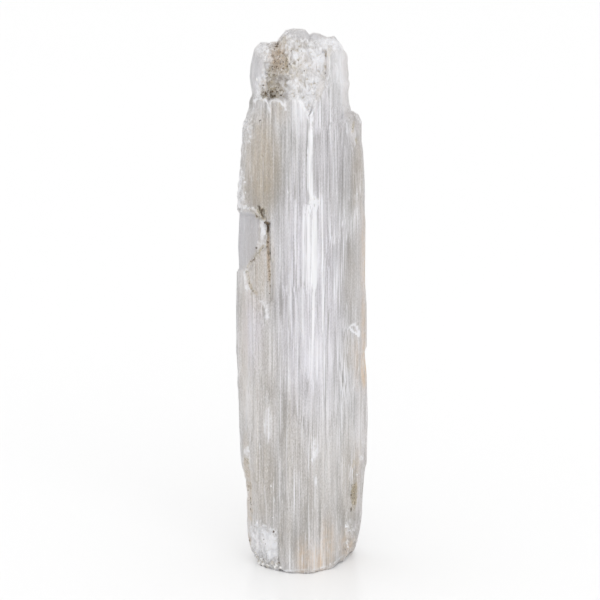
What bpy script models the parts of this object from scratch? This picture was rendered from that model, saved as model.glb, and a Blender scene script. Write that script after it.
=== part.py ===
"""Selenite crystal blade: one piece of fibrous gypsum, standing on its ground base.

The crystal is a bundle of parallel laths, so it is modelled as a block that is sawn into columns and
levels, and then drawn out to the real section, outline and broken ends. Sizes are in millimetres and
become metres where a vertex is placed. +Z is up, +X is to the right and -Y is the front.
"""

import math

import bmesh
import bpy
from mathutils import Color, Vector, noise

MM = 0.001
NODE_NAME = "selenite_blade"

# Driving dimensions
HEIGHT = 230.0
HALF_WIDTH, HALF_DEPTH = 28.3, 18.0

# The middle section, as the flat faces that meet at its long edges. The front and back run left to right,
# and the sides run front to back.
FRONT = (
    (-24.8, -7.0), (-19.6, -11.5), (-13.4, -13.8), (-5.0, -18.0), (4.6, -17.6), (12.0, -13.2), (19.0, -5.0),
    (24.6, 2.5),
)
RIGHT = ((24.6, 2.5), (28.3, 8.0), (27.2, 12.5), (21.6, 16.0))
BACK = ((-19.4, 14.0), (-11.0, 16.4), (-2.0, 17.2), (9.0, 18.0), (21.6, 16.0))
LEFT = ((-24.8, -7.0), (-28.3, -1.5), (-26.6, 7.0), (-19.4, 14.0))

# How far the outline reaches to each side at each height: (height, reach)
LEFT_REACH = (
    (0.0, 19.2), (2.0, 20.2), (5.0, 21.6), (8.0, 22.4), (22.0, 23.0), (36.0, 24.1), (39.0, 25.4),
    (66.0, 26.4), (74.0, 26.4), (88.0, 27.6), (110.0, 27.8), (127.0, 27.4), (139.0, 27.9), (152.0, 27.3),
    (165.0, 27.2), (178.0, 25.8), (187.0, 25.4), (190.0, 24.9), (192.2, 23.7), (198.0, 22.0), (204.0, 20.3),
    (210.0, 21.1), (218.0, 21.7), (224.0, 21.3), (230.0, 19.8),
)
RIGHT_REACH = (
    (0.0, 22.8), (3.0, 24.2), (8.0, 24.9), (19.0, 27.2), (34.5, 27.6), (37.5, 28.2), (62.0, 28.8),
    (80.0, 28.3), (90.2, 27.2), (91.4, 28.2), (110.0, 28.1), (119.0, 27.2), (152.0, 27.1), (166.0, 26.5),
    (176.0, 26.0), (187.0, 25.3), (190.0, 24.9), (192.2, 23.4), (193.8, 19.8), (203.0, 18.9), (210.0, 19.7),
    (218.0, 20.0), (225.0, 19.6), (230.0, 18.6),
)
OUTLINE_GIVES_FROM = 13.0  # the middle of the section keeps its place, and what lies further out follows

# The broken top, as seen from the front: (distance to the right, height)
TOP = (
    (-22.0, 218.0), (-20.6, 220.2), (-18.6, 223.0), (-15.0, 224.2), (-9.6, 224.0), (-8.6, 226.6),
    (-6.4, 229.6), (-3.0, 230.0), (1.6, 229.6), (3.0, 227.6), (5.4, 228.6), (7.6, 227.2), (13.6, 226.4),
    (16.2, 223.4), (17.6, 221.0), (21.0, 218.6),
)
TOP_CREST, TOP_FALL = 1.5, 0.36  # the crest runs across at this depth, and the top falls away from it
TOP_STARTS = 198.0  # above this height the levels follow the broken top

# Ledges, where laths end across the front and the left side. Each bends one level of the surface to where
# the laths end: (level, how far the bend reaches up and down, ((distance to the right, height), ...))
RIM, NOTCH_TOP, NOTCH_FOOT, FLAKE_FOOT, BRUISE_TOP = 205.6, 153.6, 132.6, 120.2, 18.0
LEDGES = (
    (RIM, 12.5, (
        (-20.0, 205.6), (-17.4, 206.6), (-14.4, 203.6), (-13.6, 203.2), (-12.4, 206.2), (-9.0, 205.6),
        (-6.8, 203.4), (-5.8, 205.6), (-0.2, 205.4), (1.2, 202.6), (3.4, 195.4), (4.9, 203.0), (6.0, 208.0),
        (7.8, 213.4), (10.4, 215.6), (13.6, 205.6),
    )),
    (NOTCH_TOP, 9.0, ((-26.0, 154.0), (-18.2, 154.4), (-16.6, 151.6), (-13.6, 148.4), (-12.4, 153.6))),
    (NOTCH_FOOT, 12.0, (
        (-26.6, 126.4), (-23.1, 129.4), (-18.6, 138.2), (-13.6, 139.6), (-12.4, 132.6),
    )),
    (FLAKE_FOOT, 7.5, (
        (-24.4, 120.2), (-22.8, 124.0), (-20.4, 119.2), (-18.6, 117.2), (-13.6, 116.4), (-12.4, 120.2),
    )),
    (BRUISE_TOP, 7.0, (
        (-22.0, 16.8), (-18.8, 19.2), (-17.2, 19.6), (-14.4, 17.0), (-10.6, 16.2), (-9.4, 18.0),
    )),
)
LEDGE = 0.7  # half the height over which the surface steps in at a ledge
LEDGE_JITTER, LEDGE_GRAIN = 0.7, 1.7  # the ends of the laths are uneven by this much, in pieces of this size
WAVE, WAVE_SIZE = 2.0, 9.0  # the levels in between are uneven by this much, in waves of this size

# The front of the top end is broken away above the rim, in a rough slope between a left lath and the right
# blade. The slope steps in behind the rim, and runs back by a share of its height.
SLOPE_LEFT, SLOPE_RIGHT = -15.2, 10.6
SLOPE_STEP, SLOPE_RUN = 2.4, 0.36
SLOPE_FADES = (-10.0, -16.5), (3.0, 13.5)  # each side: where it is full, and where it would be shallowest
SLOPE_SHALLOW = 0.35  # the share of its depth that is left there
SLOPE_KEEPS = 0.3  # the share of the laths' relief that is left on the slope
SLOPE_LUMPS = (1.3, 3.4), (0.9, 1.9)  # (depth, size) of its lumps
PIT_AT, PIT_SIZE, PIT_DEPTH = (-10.0, 209.4), (7.6, 8.4), 4.4

# Thin layers that have split off or stand proud, as panels of the surface:
# side, (from, to) across, (from, to) up, lean of the ends, depth
PANELS = (
    ("front", (-30.0, -15.4), (NOTCH_FOOT, NOTCH_TOP), 0.0, 2.2),
    ("front", (-15.4, -12.9), (NOTCH_FOOT, NOTCH_TOP), 0.0, 2.9),
    ("left", (-30.0, 2.0), (NOTCH_FOOT, NOTCH_TOP), 0.0, 1.0),
    ("front", (-23.6, -13.8), (FLAKE_FOOT, NOTCH_FOOT), 0.0, 0.9),
    ("front", (-13.8, -12.7), (FLAKE_FOOT, NOTCH_FOOT), 0.0, 1.9),
    ("front", (-30.0, -13.8), (-5.0, FLAKE_FOOT), 0.0, 0.25),
    ("front", (-22.5, -9.6), (-5.0, BRUISE_TOP), 0.0, 0.9),
    ("front", (2.8, 5.0), (160.4, 198.0), 0.0, -0.55),
    ("front", (0.6, 5.4), (124.0, 157.0), -0.5, -0.4),
    ("front", (5.4, 17.0), (192.0, 240.0), 0.5, 0.4),
    ("front", (-8.0, 0.5), (52.0, 124.8), 0.10, 0.3),
    ("front", (17.0, 22.4), (96.6, 101.0), -0.55, 0.7),
    ("front", (19.0, 22.5), (23.0, 40.0), 0.0, 0.6),
    ("back", (-30.0, -9.0), (150.0, 208.0), 0.35, 1.9),
    ("back", (-16.0, -11.5), (96.0, 150.0), 0.0, 0.9),
    ("back", (-1.5, 8.5), (-5.0, 64.0), -0.45, 1.3),
    ("back", (4.0, 12.5), (172.0, 211.0), -0.60, 1.5),
    ("back", (13.5, 30.0), (58.0, 131.0), 0.50, 1.6),
    ("left", (3.0, 10.5), (60.0, 101.0), 0.80, 1.3),
    ("left", (-30.0, 3.0), (162.0, 189.0), 0.60, 0.5),
    ("right", (11.0, 30.0), (104.0, 176.0), 0.55, 1.2),
    ("right", (-30.0, 6.5), (40.0, 89.0), -0.35, 0.7),
)

# The long ridges of the laths
RIDGE_HEIGHT, RIDGES_PER_MM, RIDGE_CHANGE_PER_MM = 0.7, 0.61, 0.006
LATH_WIDTH, LATH_STEP, LATH_LENGTH = 5.2, 0.42, 75.0
SIDE_SEEDS = {"front": 3.0, "back": 47.0, "left": 91.0, "right": 133.0}

# Rough spots, where the crystal is bruised to small lumps:
# side, middle across, height, half width, half height, depth of the lumps
LUMP_SIZE = 3.1
ROUGH = (
    ("left", -5.0, 186.0, 5.0, 8.0, 0.8),
    ("left", -6.0, 34.0, 6.0, 16.0, 0.6),
    ("front", -16.0, 10.0, 8.0, 11.0, 1.0),
    ("front", -21.0, 196.0, 4.0, 9.0, 0.8),
    ("front", 20.0, 6.0, 5.0, 8.0, 0.7),
    ("back", -4.0, 218.0, 14.0, 12.0, 0.6),
    ("back", 10.0, 4.0, 12.0, 7.0, 0.9),
    ("right", 8.0, 196.0, 8.0, 7.0, 0.8),
)

TOP_LUMPS = (0.9, 4.2), (0.6, 2.1)  # (height, size) of the lumps of the broken top

# The base is ground flat, and its edge is chipped: (to the right, to the back, size, rise)
CHIPS_FADE = 14.0  # a chip lifts nothing above this height
CHIPS = (
    (24.0, 2.0, 8.0, 2.8), (17.0, -8.0, 6.0, 1.2), (-9.4, -16.6, 2.6, 1.6), (-21.0, 12.0, 5.0, 2.2),
    (4.0, 18.0, 4.0, 1.2),
)

# Where the block is sawn. Each list is filled in so that no gap is wider than the stated one.
COLUMN_GAP = 1.6
COLUMN_KEYS = (
    -24.8, -15.7, -15.1, -13.9, -12.7, -9.8, -9.4, 0.5, 2.6, 3.0, 4.9, 5.3, 10.3, 10.9, 24.6,
)
LEVEL_GAP = 9.5
LEVEL_KEYS = (
    0.0, 2.0, 5.0, 10.0, BRUISE_TOP - LEDGE, BRUISE_TOP + LEDGE, 36.4, 38.2, 52.0, 89.9, 91.6, 112.0,
    FLAKE_FOOT - LEDGE, FLAKE_FOOT + LEDGE, NOTCH_FOOT - LEDGE, NOTCH_FOOT + LEDGE, NOTCH_TOP - LEDGE,
    NOTCH_TOP + LEDGE, 159.6, 161.0, 187.0, 190.0, 192.2, 193.8, RIM - LEDGE, RIM + LEDGE, 209.0, 212.0,
    215.0, 218.0, 221.0, 224.0, 227.0, HEIGHT,
)
DEPTH_CUTS = 7
SPREADS = 60  # how often the points inside the rim of each end are evened out


def along(table, at):
    """The value of a table of (place, value) pairs at a place, straight between its points."""
    if at <= table[0][0]:
        return table[0][1]
    for (a, low), (b, high) in zip(table, table[1:]):
        if at <= b:
            return low + (high - low) * (at - a) / (b - a)
    return table[-1][1]


def ramp(value, start, end):
    """0 before start and 1 after end."""
    return min(1.0, max(0.0, (value - start) / (end - start)))


def rough(x, y, z, size):
    """A lumpy field between about -1 and 1, with lumps of this size."""
    return noise.noise(Vector((x / size, y / size, z / size)))


def filled(keys, gap):
    """The keys, with even steps put in wherever two of them are further apart than gap."""
    places = []
    for a, b in zip(keys, keys[1:]):
        steps = math.ceil((b - a) / gap)
        places += [a + (b - a) * k / steps for k in range(steps)]
    return [*places, keys[-1]]


def section_edge(side, share):
    """A point of the middle section on one of its four sides, share of the way along it."""
    corners = {"front": FRONT, "back": BACK, "left": LEFT, "right": RIGHT}[side]
    if side in ("front", "back"):
        x = corners[0][0] + (corners[-1][0] - corners[0][0]) * share
        return x, along(corners, x)
    lengths = [0.0]
    for (x0, y0), (x1, y1) in zip(corners, corners[1:]):
        lengths.append(lengths[-1] + math.hypot(x1 - x0, y1 - y0))
    at = share * lengths[-1]
    xs = [(length, corner[0]) for length, corner in zip(lengths, corners)]
    ys = [(length, corner[1]) for length, corner in zip(lengths, corners)]
    return along(xs, at), along(ys, at)


def followed_outline(x, z):
    """The place across, drawn in to the outline at this height."""
    reach = along(LEFT_REACH if x < 0 else RIGHT_REACH, z)
    share = ramp(abs(x), OUTLINE_GIVES_FROM, HALF_WIDTH)
    return x * (1.0 - share * (HALF_WIDTH - reach) / max(abs(x), OUTLINE_GIVES_FROM))


def ledge_height(x, v, level):
    """The height of a level of the surface, bent to the ledges. v is 0 at the front and 1 at the back."""
    waviness = WAVE * ramp(abs(level - 0.5 * HEIGHT), 0.5 * HEIGHT, 0.35 * HEIGHT)
    height = level + waviness * rough(x, 10.0 * v, level, WAVE_SIZE)
    for ledge, reach, ends in LEDGES:
        bend = along(ends, x) - ledge + LEDGE_JITTER * rough(x, ledge, 0.0, LEDGE_GRAIN)
        height += bend * ramp(abs(level - ledge), reach, 0.0) * ramp(v, 0.7, 0.3)
    return height


def ridge_relief(side, across, z):
    """How far the laths stand out: fine ridges, and broad laths that start and end along the height."""
    seed = SIDE_SEEDS[side]
    fine = noise.noise(Vector((across * RIDGES_PER_MM, z * RIDGE_CHANGE_PER_MM, seed)))
    lath = math.floor(across / LATH_WIDTH + 0.3 * seed)
    length = math.floor(z / LATH_LENGTH + 1.7 * noise.cell(Vector((lath, seed, 0.0))))
    step = noise.cell(Vector((lath + 0.5, length + 0.5, seed)))
    return RIDGE_HEIGHT * fine + LATH_STEP * (step - 0.5)


def panel_depth(side, across, level):
    """How far the panels sink the surface here, or raise it where this is below 0."""
    depth = 0.0
    for panel_side, (left, right), (low, high), lean, sunk in PANELS:
        middle = 0.5 * (max(left, COLUMN_KEYS[0]) + min(right, COLUMN_KEYS[-1]))
        shift = lean * (across - middle)
        if panel_side == side and left <= across <= right and low + shift <= level <= high + shift:
            depth += sunk
    return depth


def lumps(side, across, z):
    """Small lumps where the crystal is bruised."""
    total = 0.0
    for rough_side, at_across, at_height, half_width, half_height, depth in ROUGH:
        if rough_side == side:
            away = math.hypot((across - at_across) / half_width, (z - at_height) / half_height)
            total += depth * ramp(away, 1.0, 0.6) * rough(across, 7.0, z, LUMP_SIZE)
    return total


def broken_slope(x, level, z):
    """How far the broken top of the front lies behind the front face, or 0 off the slope."""
    if not (SLOPE_LEFT < x < SLOPE_RIGHT and level > RIM):
        return 0.0
    pit = math.hypot((x - PIT_AT[0]) / PIT_SIZE[0], (z - PIT_AT[1]) / PIT_SIZE[1])
    depth = SLOPE_STEP + SLOPE_RUN * max(0.0, z - RIM)
    for full, shallow in SLOPE_FADES:
        depth *= SLOPE_SHALLOW + (1.0 - SLOPE_SHALLOW) * ramp(x, shallow, full)
    depth += PIT_DEPTH * ramp(pit, 1.0, 0.35)
    return depth + sum(deep * rough(x, size, z, size) for deep, size in SLOPE_LUMPS)


def rim_point(side, share, level, z):
    """A point on the outside of the crystal, as (x, y). The ledges have bent it from its level to z."""
    x, y = section_edge(side, share)
    across = y if side in ("left", "right") else x
    outward = Vector((x / HALF_WIDTH**2, y / HALF_DEPTH**2)).normalized()
    sunk = panel_depth(side, across, level) - ridge_relief(side, across, z) - lumps(side, across, z)
    back = broken_slope(x, level, z) if side == "front" else 0.0
    if back:
        sunk *= SLOPE_KEEPS
    return Vector((followed_outline(x, z) - sunk * outward.x, y - sunk * outward.y + back))


def section_point(u, v, level, z):
    """A point of the section at a level. u runs left to right and v front to back, both from 0 to 1."""
    if u in (0.0, 1.0) and 0.0 < v < 1.0:
        return rim_point("right" if u else "left", v, level, z)
    if v in (0.0, 1.0):
        return rim_point("back" if v else "front", u, level, z)
    return (1 - v) * rim_point("front", u, level, z) + v * rim_point("back", u, level, z)


def top_height(x, y):
    """The height of the broken top over a place in the section."""
    lumpy = sum(high * rough(x, y, size, size) for high, size in TOP_LUMPS)
    return min(HEIGHT, along(TOP, x) - TOP_FALL * abs(y - TOP_CREST) + lumpy)


def base_height(x, y):
    """How far the base is chipped up here. It is 0 over the flat middle."""
    height = 0.0
    for chip_x, chip_y, size, rise in CHIPS:
        away = math.hypot(x - chip_x, y - chip_y)
        height = max(height, rise * ramp(away, size, 0.35 * size))
    return height


def gridded_block():
    """A block sawn at every column, depth and level. Its y is a share of the depth, not yet a place."""
    mesh = bmesh.new()
    left, right = COLUMN_KEYS[0], COLUMN_KEYS[-1]
    bmesh.ops.create_cube(mesh, size=1.0)
    bmesh.ops.translate(mesh, verts=mesh.verts, vec=(0.5, 0.5, 0.5))
    bmesh.ops.scale(mesh, verts=mesh.verts, vec=(right - left, 1.0, HEIGHT))
    bmesh.ops.translate(mesh, verts=mesh.verts, vec=(left, 0.0, 0.0))
    columns = filled(COLUMN_KEYS, COLUMN_GAP)[1:-1]
    levels = filled(LEVEL_KEYS, LEVEL_GAP)[1:-1]
    depths = [k / (DEPTH_CUTS + 1) for k in range(1, DEPTH_CUTS + 1)]
    for axis, cuts in ((0, columns), (1, depths), (2, levels)):
        normal = Vector([float(axis == k) for k in range(3)])
        for cut in cuts:
            everything = [*mesh.verts, *mesh.edges, *mesh.faces]
            bmesh.ops.bisect_plane(mesh, geom=everything, plane_co=normal * cut, plane_no=normal, dist=1e-5)
    return mesh


def drawn_out(mesh):
    """Moves each corner of the sawn block to its place on the crystal."""
    left, right = COLUMN_KEYS[0], COLUMN_KEYS[-1]
    levels, inner = [], []
    for vertex in mesh.verts:
        level = vertex.co.z
        u = min(1.0, max(0.0, round((vertex.co.x - left) / (right - left), 6)))
        v = min(1.0, max(0.0, round(vertex.co.y, 6)))
        z = ledge_height(vertex.co.x, v, level)
        levels.append((level, z))
        if 0.0 < u < 1.0 and 0.0 < v < 1.0:
            inner.append(vertex)
        vertex.co = (*section_point(u, v, level, z), z)
    for _ in range(SPREADS):
        bmesh.ops.smooth_vert(mesh, verts=inner, factor=0.5, use_axis_x=True, use_axis_y=True)
    for vertex, (level, z) in zip(mesh.verts, levels):
        x, y, _ = vertex.co
        if z > TOP_STARTS:
            z = TOP_STARTS + (z - TOP_STARTS) * (top_height(x, y) - TOP_STARTS) / (HEIGHT - TOP_STARTS)
        z += base_height(x, y) * ramp(level, CHIPS_FADE, 0.0)
        vertex.co = Vector((x, y, z)) * MM


def centred(mesh):
    """Moves the crystal so that the middle of its outline is over the origin."""
    ends = [[point.co[axis] for point in mesh.verts] for axis in (0, 1)]
    across, back = [0.5 * (min(places) + max(places)) for places in ends]
    bmesh.ops.translate(mesh, verts=mesh.verts, vec=(-across, -back, 0.0))


def crystal_material():
    """Pale grey, satin gypsum that lets some light through."""
    material = bpy.data.materials.new("selenite")
    material.use_nodes = True
    shader = material.node_tree.nodes["Principled BSDF"]
    colour = Color((0.60, 0.575, 0.56))
    shader.inputs["Base Color"].default_value = (*colour, 1.0)
    shader.inputs["Roughness"].default_value = 0.35
    shader.inputs["Metallic"].default_value = 0.0
    shader.inputs["IOR"].default_value = 1.52
    shader.inputs["Transmission Weight"].default_value = 0.25
    material.diffuse_color = (*colour, 1.0)
    return material


def main():
    for old in list(bpy.data.objects):
        bpy.data.objects.remove(old)
    mesh = gridded_block()
    drawn_out(mesh)
    centred(mesh)
    bmesh.ops.recalc_face_normals(mesh, faces=mesh.faces)
    data = bpy.data.meshes.new(NODE_NAME)
    mesh.to_mesh(data)
    mesh.free()
    data.materials.append(crystal_material())
    blade = bpy.data.objects.new(NODE_NAME, data)
    crystal = bpy.data.collections.new("selenite_crystal")
    bpy.context.scene.collection.children.link(crystal)
    crystal.objects.link(blade)
    print(f"{NODE_NAME}: {len(data.vertices)} corners, {len(data.polygons)} faces")


main()
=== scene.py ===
# %% [markdown]
# # A blade of selenite, in cells
#
# Selenite is clear gypsum. This crystal grew as a bundle of parallel fibres, and it was broken off at the
# top and ground flat below, so that it stands. The packed solid already has its size, its facets and its
# large breaks. These cells give it what the eye meets up close: fine fibres, cloudy and clear streaks,
# broken sugary ends, and the brown earth that stayed in its hollows. The first lines load the solid as a
# fixed frame.

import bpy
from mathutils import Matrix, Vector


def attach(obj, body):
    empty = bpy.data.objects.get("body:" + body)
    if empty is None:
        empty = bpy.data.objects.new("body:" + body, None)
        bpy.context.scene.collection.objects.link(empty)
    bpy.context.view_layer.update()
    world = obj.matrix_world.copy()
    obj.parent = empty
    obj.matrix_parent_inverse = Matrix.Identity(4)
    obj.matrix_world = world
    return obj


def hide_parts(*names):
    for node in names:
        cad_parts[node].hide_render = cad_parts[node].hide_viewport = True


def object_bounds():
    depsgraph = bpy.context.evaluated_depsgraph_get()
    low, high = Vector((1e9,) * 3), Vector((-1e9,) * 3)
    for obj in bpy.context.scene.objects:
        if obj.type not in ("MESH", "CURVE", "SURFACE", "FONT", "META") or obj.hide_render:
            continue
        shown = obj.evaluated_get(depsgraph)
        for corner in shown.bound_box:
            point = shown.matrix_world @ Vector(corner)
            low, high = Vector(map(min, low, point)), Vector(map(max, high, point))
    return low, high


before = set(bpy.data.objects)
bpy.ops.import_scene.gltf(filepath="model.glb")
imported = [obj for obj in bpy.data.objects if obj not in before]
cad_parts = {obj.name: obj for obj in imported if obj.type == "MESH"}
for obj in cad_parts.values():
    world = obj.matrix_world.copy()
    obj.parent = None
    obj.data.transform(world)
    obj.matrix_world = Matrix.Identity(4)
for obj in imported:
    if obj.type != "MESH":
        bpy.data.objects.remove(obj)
solid_low, solid_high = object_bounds()
print("solid box in mm:", [round(1000 * side, 1) for side in solid_high - solid_low])

# %% [markdown]
# ## Tools of the trade
#
# Lengths are written in millimetres where they belong to the crystal, and become metres by MM. The
# crystal's marks are placed by where they show in the 600 x 600 view of the camera, because that is how one
# looks at a specimen. Every mark is then carried to the surface behind that spot, so that it sits right
# from any side.

# %% Imports and the unit
import math

import bpy
import numpy as np
from mathutils import Euler, Matrix, Vector
from mathutils.bvhtree import BVHTree

MM = 0.001
print("made with Blender", bpy.app.version_string, "and numpy", np.__version__)

# %% [markdown]
# ## The camera
#
# A long lens from a little above keeps the crystal's edges nearly parallel. Because the marks are placed
# through the camera, it comes first. Its projection is three dot products, which also work on whole arrays.

# %% Camera and projection
VIEW_PIXELS = 600
LENS_MM, SENSOR_MM = 200.0, 36.0
CAMERA_TARGET = Vector((-0.87, 0.0, 114.9)) * MM
CAMERA_ELEVATION = math.radians(15.0)
CAMERA_DISTANCE = 1.395

camera_right = Vector((1.0, 0.0, 0.0))
camera_up = Vector((0.0, math.sin(CAMERA_ELEVATION), math.cos(CAMERA_ELEVATION)))
camera_forward = Vector((0.0, math.cos(CAMERA_ELEVATION), -math.sin(CAMERA_ELEVATION)))
camera_place = CAMERA_TARGET - CAMERA_DISTANCE * camera_forward
FOCAL_PIXELS = LENS_MM / SENSOR_MM * VIEW_PIXELS

bpy.ops.object.camera_add(location=camera_place, rotation=(math.pi / 2 - CAMERA_ELEVATION, 0.0, 0.0))
camera = bpy.context.object
camera.name = "camera"
camera.data.lens = LENS_MM
camera.data.sensor_width = SENSOR_MM
bpy.context.scene.camera = camera


def in_view(points):
    """Where points in metres show in the view, as an array of (across, down) in pixels."""
    away = np.asarray(points) - np.array(camera_place)
    depth = away @ np.array(camera_forward)
    across = VIEW_PIXELS / 2 + FOCAL_PIXELS * (away @ np.array(camera_right)) / depth
    down = VIEW_PIXELS / 2 - FOCAL_PIXELS * (away @ np.array(camera_up)) / depth
    return np.stack([across, down], axis=1)


print("the crystal's foot and tip show at", in_view([(0, -0.018, 0.0), (0, 0.0, 0.23)]).round(1).tolist())

# %% [markdown]
# ## Light and floor
#
# Such a specimen is shown on white, in light from all around, with one large soft light in front that gives
# the middle facets their glow. An area light would do as well, but a sun with a wide angle lights the whole
# height evenly. The floor is a plain sheet, large enough to have no visible end.

# %% World, lights and floor
ROOM_STRENGTH = 0.94
FLOOR_SIZE = 8.0

scene = bpy.context.scene
scene.view_settings.view_transform = "Standard"
scene.world = bpy.data.worlds.new("white_room")
scene.world.use_nodes = True
room = scene.world.node_tree.nodes["Background"]
room.inputs["Color"].default_value = (1.0, 1.0, 1.0, 1.0)
room.inputs["Strength"].default_value = ROOM_STRENGTH


def soft_sun(name, azimuth, elevation, strength, softness):
    """A far and wide softbox. Azimuth 0 is the front, and 90 the right."""
    bpy.ops.object.light_add(type="SUN")
    light = bpy.context.object
    light.name = name
    light.data.energy = math.pi * strength
    light.data.angle = math.radians(softness)
    level, turn = math.radians(elevation), math.radians(azimuth)
    towards = Vector((math.sin(turn) * math.cos(level), -math.cos(turn) * math.cos(level), math.sin(level)))
    light.rotation_euler = towards.to_track_quat("Z", "Y").to_euler()
    print(name, "shines from", [round(part, 2) for part in towards])


soft_sun("front_softbox", azimuth=18.0, elevation=26.0, strength=0.14, softness=55.0)
soft_sun("top_softbox", azimuth=-30.0, elevation=75.0, strength=0.05, softness=60.0)

bpy.ops.mesh.primitive_plane_add(size=FLOOR_SIZE, location=(0.0, 0.0, 0.0))
floor = bpy.context.object
floor.name = "floor"

# %% [markdown]
# ## A small language for materials
#
# A pattern is a sum of masks, so it reads best as arithmetic. Nodes could be added and linked one by one,
# but the sums would be hard to follow. Here a Field wraps one socket of a node, and its operators add Math
# nodes.

# %% Field
class Field:
    """A number that varies over the surface: one socket, on which arithmetic adds Math nodes."""

    def __init__(self, finish, socket):
        self.finish = finish
        self.socket = socket

    def maths(self, operation, *values):
        """A Math node on these values."""
        return self.finish.node("ShaderNodeMath", {"operation": operation}, dict(enumerate(values)))

    def __add__(self, other):
        return self.maths("ADD", self, other)

    def __sub__(self, other):
        return self.maths("SUBTRACT", self, other)

    def __rsub__(self, other):
        return self.maths("SUBTRACT", other, self)

    def __mul__(self, other):
        return self.maths("MULTIPLY", self, other)

    def __abs__(self):
        return self.maths("ABSOLUTE", self)

    __radd__ = __add__
    __rmul__ = __mul__


print("reflected forms of a Field:", ", ".join(name for name in vars(Field) if name.startswith("__r")))

# %% [markdown]
# ## A finish, node by node
#
# Every finish on this crystal and its floor is a node tree. One method makes any node from its type, its
# settings and its sockets, and a few short ones stand for the nodes that are needed again and again.
# Colours are given as they are seen, because that is how one compares them.

# %% Finish and rgb
class Finish:
    """A material that is built node by node."""

    def __init__(self, name):
        self.material = bpy.data.materials.new(name)
        self.material.use_nodes = True
        self.tree = self.material.node_tree
        self.tree.nodes.clear()

    def node(self, kind, settings=None, sockets=None, output=0):
        """Adds a node, applies its settings, then fills its sockets with values or Fields."""
        node = self.tree.nodes.new(kind)
        for name, value in (settings or {}).items():
            setattr(node, name, value)
        for name, value in (sockets or {}).items():
            if isinstance(value, Field):
                self.tree.links.new(value.socket, node.inputs[name])
            else:
                node.inputs[name].default_value = value
        return Field(self, node.outputs[output])

    def place(self):
        """The place on the object, in metres."""
        return self.node("ShaderNodeTexCoord", output=3)

    def blend(self, colour, other, share):
        """One colour mixed into another by a share."""
        return self.node(
            "ShaderNodeMix", {"data_type": "RGBA"}, {0: share, 6: colour, 7: other}, output=2
        )

    def between(self, field, low, high):
        """0 where the field is below low, 1 above high, and smooth in between."""
        return self.node(
            "ShaderNodeMapRange", {"interpolation_type": "SMOOTHSTEP"}, {0: field, 1: low, 2: high}
        )

    def surface(self, shader):
        """Ends the tree with this shader, and gives the material."""
        output = self.tree.nodes.new("ShaderNodeOutputMaterial")
        self.tree.links.new(shader.socket, output.inputs["Surface"])
        print(self.material.name, "is made of", len(self.tree.nodes), "nodes")
        return self.material


def rgb(red, green, blue):
    """A colour given as it is seen, 0 to 255, as the linear colour that a shader takes."""
    parts = [part / 255 for part in (red, green, blue)]
    linear = [part / 12.92 if part <= 0.04045 else ((part + 0.055) / 1.055) ** 2.4 for part in parts]
    return (*linear, 1.0)


print("middle grey in linear light:", round(rgb(128, 128, 128)[0], 3))

# %% [markdown]
# ## The floor's finish
#
# The floor is pale and slightly polished, so that the foot has a soft dark contact and a faint reflection.
# A matt floor would lose the reflection, and a glossy one would show the crystal twice.

# %% The floor's finish
pale = Finish("pale_floor")
pale_shader = pale.node(
    "ShaderNodeBsdfPrincipled", {}, {"Base Color": (0.97, 0.97, 0.97, 1.0), "Roughness": 0.25, "IOR": 1.35}
)
floor.data.materials.append(pale.surface(pale_shader))

# %% [markdown]
# ## The blade: one finer skin on the solid
#
# The crystal is one body, so its skin is one mesh, made from the solid itself. The solid's mesh is loose
# triangles, so a copy of it is merged, and its triangle pairs become quads again. Subdivision Surface, in
# its simple mode, then gives small faces for the fibres without rounding the facets.

# %% Copy, merge and subdivide
MERGE_WITHIN = 1e-6
SKIN_LEVELS = 2


def work_on(piece):
    """Makes a piece the only selected one, and the active one."""
    bpy.ops.object.select_all(action="DESELECT")
    piece.select_set(True)
    bpy.context.view_layer.objects.active = piece


def finish_modifier(piece, kind, **settings):
    """Adds a modifier to a piece and applies it."""
    work_on(piece)
    modifier = piece.modifiers.new(kind.lower(), kind)
    for name, value in settings.items():
        setattr(modifier, name, value)
    bpy.ops.object.modifier_apply(modifier=modifier.name)
    print(piece.name, "after", kind.lower(), "has", len(piece.data.vertices), "corners")


blade = bpy.data.objects.new("crystal_blade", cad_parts["selenite_blade"].data.copy())
scene.collection.objects.link(blade)
work_on(blade)
bpy.ops.object.mode_set(mode="EDIT")
bpy.ops.mesh.select_all(action="SELECT")
bpy.ops.mesh.remove_doubles(threshold=MERGE_WITHIN)
bpy.ops.mesh.tris_convert_to_quads(face_threshold=math.pi, shape_threshold=math.pi)
bpy.ops.object.mode_set(mode="OBJECT")
finish_modifier(
    blade, "SUBSURF", subdivision_type="SIMPLE", levels=SKIN_LEVELS, render_levels=SKIN_LEVELS
)

# %% [markdown]
# ## Where things are on the blade
#
# Everything that follows needs to know which corners of the mesh lie in a hollow, on a broken end or along
# a stained edge. Each such zone is a mask, a number from 0 to 1 for each corner. Zones could be picked by
# hand in edit mode, but a mask also has soft edges, and masks can be added and multiplied. The first
# helpers read the corners as arrays.

# %% Corners, normals and soft steps
def corners_of(piece):
    """The corners of a piece in millimetres."""
    places = np.empty(3 * len(piece.data.vertices), np.float32)
    piece.data.vertices.foreach_get("co", places)
    return places.reshape(-1, 3).astype(float) / MM


def normals_of(piece):
    """The direction in which the skin faces at each corner."""
    normals = np.empty(3 * len(piece.data.vertices), np.float32)
    piece.data.vertices.foreach_get("normal", normals)
    return normals.reshape(-1, 3).astype(float)


def ramp(values, start, end):
    """0 before start, 1 after end, and smooth in between."""
    share = np.clip((values - start) / (end - start), 0.0, 1.0)
    return share * share * (3.0 - 2.0 * share)


def any_of(*masks):
    """The strongest of several masks at each corner."""
    return np.max(masks, axis=0)


blade_size = np.ptp(corners_of(blade), axis=0)
print("the skin's size in mm:", blade_size.round(1).tolist())

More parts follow.
